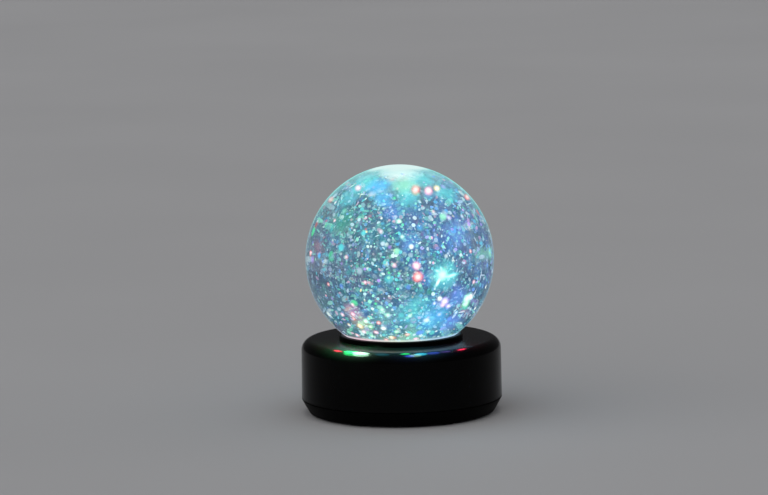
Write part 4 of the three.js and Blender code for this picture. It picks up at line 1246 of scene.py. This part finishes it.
def gleam(across, rise, size, tint, shine, stretch=1.0, slant=0.0):
    """A row of the tables in metres and radians. It is round unless the row says otherwise."""
    return across, rise, size * MM, tint, shine, stretch, math.radians(slant)


def placed_gleams(name, places, material):
    """Gleams just inside the ball's wall, at chosen places seen from the front, and again on its back."""
    source = bpy.data.meshes.new(name)
    centre = Vector((0, 0, GLOBE_HEIGHT))
    to_back = Matrix.Rotation(BACK_TURN, 3, "Z")
    rows = [gleam(*place) for place in places]
    spots = [seen_from_front(row[0], row[1]) * GLEAM_REACH for row in rows]
    source.from_pydata([centre + spot for spot in spots + [to_back @ spot for spot in spots]], [], [])
    for index, label in enumerate(("size", "tint", "shine", "stretch"), 2):
        share = BACK_SHINE if label == "shine" else 1.0
        numbers = [row[index] for row in rows]
        values = source.attributes.new(label, "FLOAT", "POINT").data
        for value, number in zip(values, numbers + [number * share for number in numbers]):
            value.value = number
    slants = [row[6] for row in rows]
    aims = [rightwards * math.cos(slant) + upwards * math.sin(slant) for slant in slants]
    values = source.attributes.new("along", "FLOAT_VECTOR", "POINT").data
    for value, aim in zip(values, aims + [to_back @ aim for aim in aims]):
        value.vector = aim

    def build(nodes, given):
        read = "GeometryNodeInputNamedAttribute"
        size = nodes.add(read, {"data_type": "FLOAT"}, {"Name": "size"}) * given["Scale"]
        stretch = nodes.add(read, {"data_type": "FLOAT"}, {"Name": "stretch"})
        along = nodes.add(read, {"data_type": "FLOAT_VECTOR"}, {"Name": "along"})
        spots = nodes.add("GeometryNodeInputPosition")
        away = nodes.vector("SUBTRACT", spots, centre)
        axes = {"primary_axis": "Z", "secondary_axis": "X"}
        values = {
            "Points": given["Places"],
            "Instance": soft_lens(nodes),
            "Rotation": nodes.add("FunctionNodeAxesToRotation", axes, {0: away, 1: along}),
            "Scale": nodes.add("ShaderNodeCombineXYZ", values={0: size * stretch, 1: size, 2: size}),
        }
        placed = nodes.add("GeometryNodeInstanceOnPoints", values=values)
        return with_material(nodes, placed, material)

    made = grown(name, build, {"Scale": 1.0}, source)
    return finished(name, made, None, sharp=None, replaced=["liquid_fill"])


def lamp_light(glow):
    """What the lamps throw on the ball's wall: gleams, streaks and washes of colour."""
    placed_gleams("lamp_gleams", FRONT_GLEAMS + FRONT_STREAKS, lamp_gleam())
    placed_gleams("lamp_washes", FRONT_WASHES, glow)


def liquid_haze(material):
    """The lit liquid: nested skins, a little uneven, each a veil of light."""

    def build(nodes, given):
        index = nodes.add("GeometryNodeInputIndex")
        share = index / (given["Layers"] - 1)
        size = given["Inner"] + (given["Outer"] - given["Inner"]) * share
        points = nodes.add("GeometryNodePoints", values={"Count": given["Layers"], "Position": (0, 0, 0)})
        ball = nodes.add("GeometryNodeMeshIcoSphere", values={"Radius": 1.0, "Subdivisions": 5})
        values = {"Points": points, "Instance": ball, "Scale": size}
        placed = nodes.add("GeometryNodeInstanceOnPoints", values=values)
        realized = nodes.add("GeometryNodeRealizeInstances", values={"Geometry": placed})
        position = nodes.add("GeometryNodeInputPosition")
        swirl = nodes.add("ShaderNodeTexNoise", values={"Vector": position, "Scale": 45.0, "Detail": 1.0})
        settled = 1 - 0.06 * swirl
        pulled = nodes.add("ShaderNodeVectorMath", {"operation": "SCALE"}, {0: position, "Scale": settled})
        lifted = nodes.vector("ADD", pulled, (0, 0, GLOBE_HEIGHT))
        moved = nodes.add("GeometryNodeSetPosition", values={"Geometry": realized, "Position": lifted})
        return nodes.add("GeometryNodeSetMaterial", values={"Geometry": moved, "Material": material})

    mesh = grown("liquid_haze", build, HAZE)
    return finished("liquid_haze", mesh, None, sharp=None, replaced=["liquid_fill"])


base_black = moulded_plastic("black_base_plastic", even(0.0017), even(0.0024), 0.18, 0.045, 2400, 0.06)
collar_black = moulded_plastic("black_collar_plastic", even(0.0009), even(0.0013), 0.30, 0.045)
mark_white = moulded_plastic("mark_white", tone(176, 176, 172), tone(196, 196, 192), 0.6, 0.3, 1600, 0.2)
base_piece = base_shell(base_black)
collar_ring(collar_black)
bottom_cover(cover_plastic())
switch_marks(mark_white)
clear_ball(clear_wall())
liquid_haze(lit_haze())
glitter_flakes(lit_glitter())
glow = soft_glow()
glitter_glow(glow)
lamp_light(glow)

# Finishes of the pieces that the frame shapes
steel = brushed_metal("screw_steel", tone(140, 142, 146), tone(196, 198, 202), 0.32)
nickel = brushed_metal("contact_nickel", tone(160, 158, 150), tone(212, 210, 202), 0.26, (60, 900, 60))
tin = brushed_metal("switch_tin", tone(150, 152, 154), tone(190, 192, 194), 0.38)
dark_grey, light_grey = tone(16, 16, 17), tone(24, 24, 26)
inner_black = moulded_plastic("inner_black_plastic", dark_grey, light_grey, 0.5, 0.4, 1800, 0.25)
clear_silicone = soft_rubber("silicone", tone(196, 198, 194), tone(214, 216, 212), 0.5)
reflector_white = moulded_plastic("reflector_white", tone(226, 226, 220), tone(240, 240, 236), 0.4, 0.5)
ivory_low, ivory_high = tone(214, 214, 208), tone(232, 232, 226)
FINISHES = {
    "foot_pad": soft_rubber("foot_rubber", tone(18, 18, 20), tone(30, 30, 32), 0.78),
    "cover_screw": steel,
    "collar_screw": steel,
    "board_screw": steel,
    "box_screw": steel,
    "door_screw": steel,
    "globe_plug": lit_plug(),
    "plug_seal": clear_silicone,
    "globe_gasket": clear_silicone,
    "led_board": circuit_board(),
    "reflector_ring": reflector_white,
    "led_red": lamp_lens("lamp_red", LAMP_TONES[0]),
    "led_green": lamp_lens("lamp_green", LAMP_TONES[1]),
    "led_blue": lamp_lens("lamp_blue", LAMP_TONES[2]),
    "driver_chip": moulded_plastic("chip_epoxy", tone(20, 20, 22), tone(34, 34, 36), 0.45, 0.4, 3000, 0.3),
    "resistor": moulded_plastic("resistor_glaze", tone(24, 24, 30), tone(44, 44, 52), 0.35, 0.5, 1500, 0.1),
    "battery_box": inner_black,
    "battery_door": door_plastic(),
    "battery_cell_1": cell_wrap("battery_cell_1", -1),
    "battery_cell_2": cell_wrap("battery_cell_2", 1),
    "battery_cell_3": cell_wrap("battery_cell_3", -1),
    "contact_spring": nickel,
    "end_contact": nickel,
    "bridge_contact": nickel,
    "switch_body": tin,
    "switch_knob": moulded_plastic("knob_ivory", ivory_low, ivory_high, 0.42, 0.5, 1600, 0.15),
    "lead_battery_to_switch": soft_rubber("lead_red", tone(150, 22, 18), tone(186, 34, 28), 0.45),
    "lead_switch_to_board": soft_rubber("lead_red_second", tone(150, 22, 18), tone(186, 34, 28), 0.45),
    "lead_battery_to_board": soft_rubber("lead_black", tone(16, 16, 18), tone(28, 28, 30), 0.45),
}
for node_name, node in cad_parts.items():
    match = max((key for key in FINISHES if node_name.startswith(key)), key=len, default=None)
    if match:
        node.material_slots[0].material = FINISHES[match]

# Floor and light
FLOOR_RADIUS = 12
FLOOR_DROP = 0.05 * MM
floor_body = bmesh.new()
bmesh.ops.create_circle(floor_body, cap_ends=True, segments=96, radius=FLOOR_RADIUS)
floor = added("floor", mesh_from(floor_body, "floor"))
floor.location.z = -FLOOR_DROP
floor.data.materials.append(pale_floor())


def soft_sun(name, towards, power):
    """Wide, soft light from one side. It shows on matt surfaces, and never as a spot in a glossy one."""
    data = bpy.data.lights.new(name, "SUN")
    data.angle = math.radians(100)
    data.energy = power
    sun = added(name, data)
    sun.rotation_euler = (-Vector(towards)).to_track_quat("-Z", "Y").to_euler()
    sun.visible_glossy = False
    sun.visible_transmission = False


def lamp_beam(index, angle, reach, radius, colour, radiance, lit):
    """A lamp's beam where it leaves the ball, low down: it makes a gleam on the base's shoulder."""
    data = bpy.data.lights.new(f"lamp_beam_{index}", "POINT")
    data.shadow_soft_size = radius
    data.color = colour[:3]
    data.energy = radiance * (TURN * radius) ** 2
    lamp = added(data.name, data)
    turn = math.radians(angle)
    lamp.location = (reach * math.cos(turn), reach * math.sin(turn), BEAM_HEIGHT)
    lamp.visible_camera = False
    lamp.visible_transmission = False
    lamp.light_linking.receiver_collection = lit


# Beams round the ball: direction in degrees, how far out and how wide in millimetres, colour, brightness
BEAM_HEIGHT = 48.5 * MM
RED_BEAM, GREEN_BEAM, MINT_BEAM = tone(255, 40, 80), tone(40, 255, 130), tone(190, 255, 215)
CYAN_BEAM, BLUE_BEAM, VIOLET_BEAM = tone(60, 220, 255), tone(70, 100, 255), tone(150, 110, 255)
BEAMS = [
    (215.5, 45, 2.6, RED_BEAM, 62),
    (229, 43, 5.4, GREEN_BEAM, 55),
    (232, 50, 5.4, GREEN_BEAM, 80),
    (238, 44, 5.4, MINT_BEAM, 80),
    (240, 50, 5.6, MINT_BEAM, 115),
    (256, 46, 4.6, CYAN_BEAM, 7),
    (273, 43, 2.8, GREEN_BEAM, 60),
    (276, 51, 3.2, BLUE_BEAM, 110),
    (280, 50, 4.0, MINT_BEAM, 60),
    (284, 47, 4.0, CYAN_BEAM, 80),
    (294, 46, 4.2, BLUE_BEAM, 26),
    (305, 45, 3.0, VIOLET_BEAM, 9),
    (321, 45, 2.5, RED_BEAM, 58),
    (62, 44, 2.6, RED_BEAM, 32),
    (74, 45, 4.4, GREEN_BEAM, 50),
    (88, 47, 3.8, MINT_BEAM, 78),
    (101, 46, 3.8, CYAN_BEAM, 45),
    (112, 44, 3.2, BLUE_BEAM, 20),
]
lit_plastic = bpy.data.collections.new("base_plastic")
lit_plastic.objects.link(base_piece)
for index, (angle, reach, radius, colour, radiance) in enumerate(BEAMS, 1):
    lamp_beam(index, angle, reach * MM, radius * MM, colour, radiance, lit_plastic)
soft_sun("key_light", (-0.6, -0.5, 1.0), 1.05)
soft_sun("fill_light", (0.8, 0.2, 1.0), 0.45)
world = bpy.data.worlds.new("studio")
world.use_nodes = True
world.node_tree.nodes["Background"].inputs["Color"].default_value = (0.30, 0.30, 0.32, 1)
world.node_tree.nodes["Background"].inputs["Strength"].default_value = 0.24
scene.world = world

scene.cycles.transparent_max_bounces = 32
scene.cycles.sample_clamp_indirect = 3.0
scene.view_settings.view_transform = "Standard"
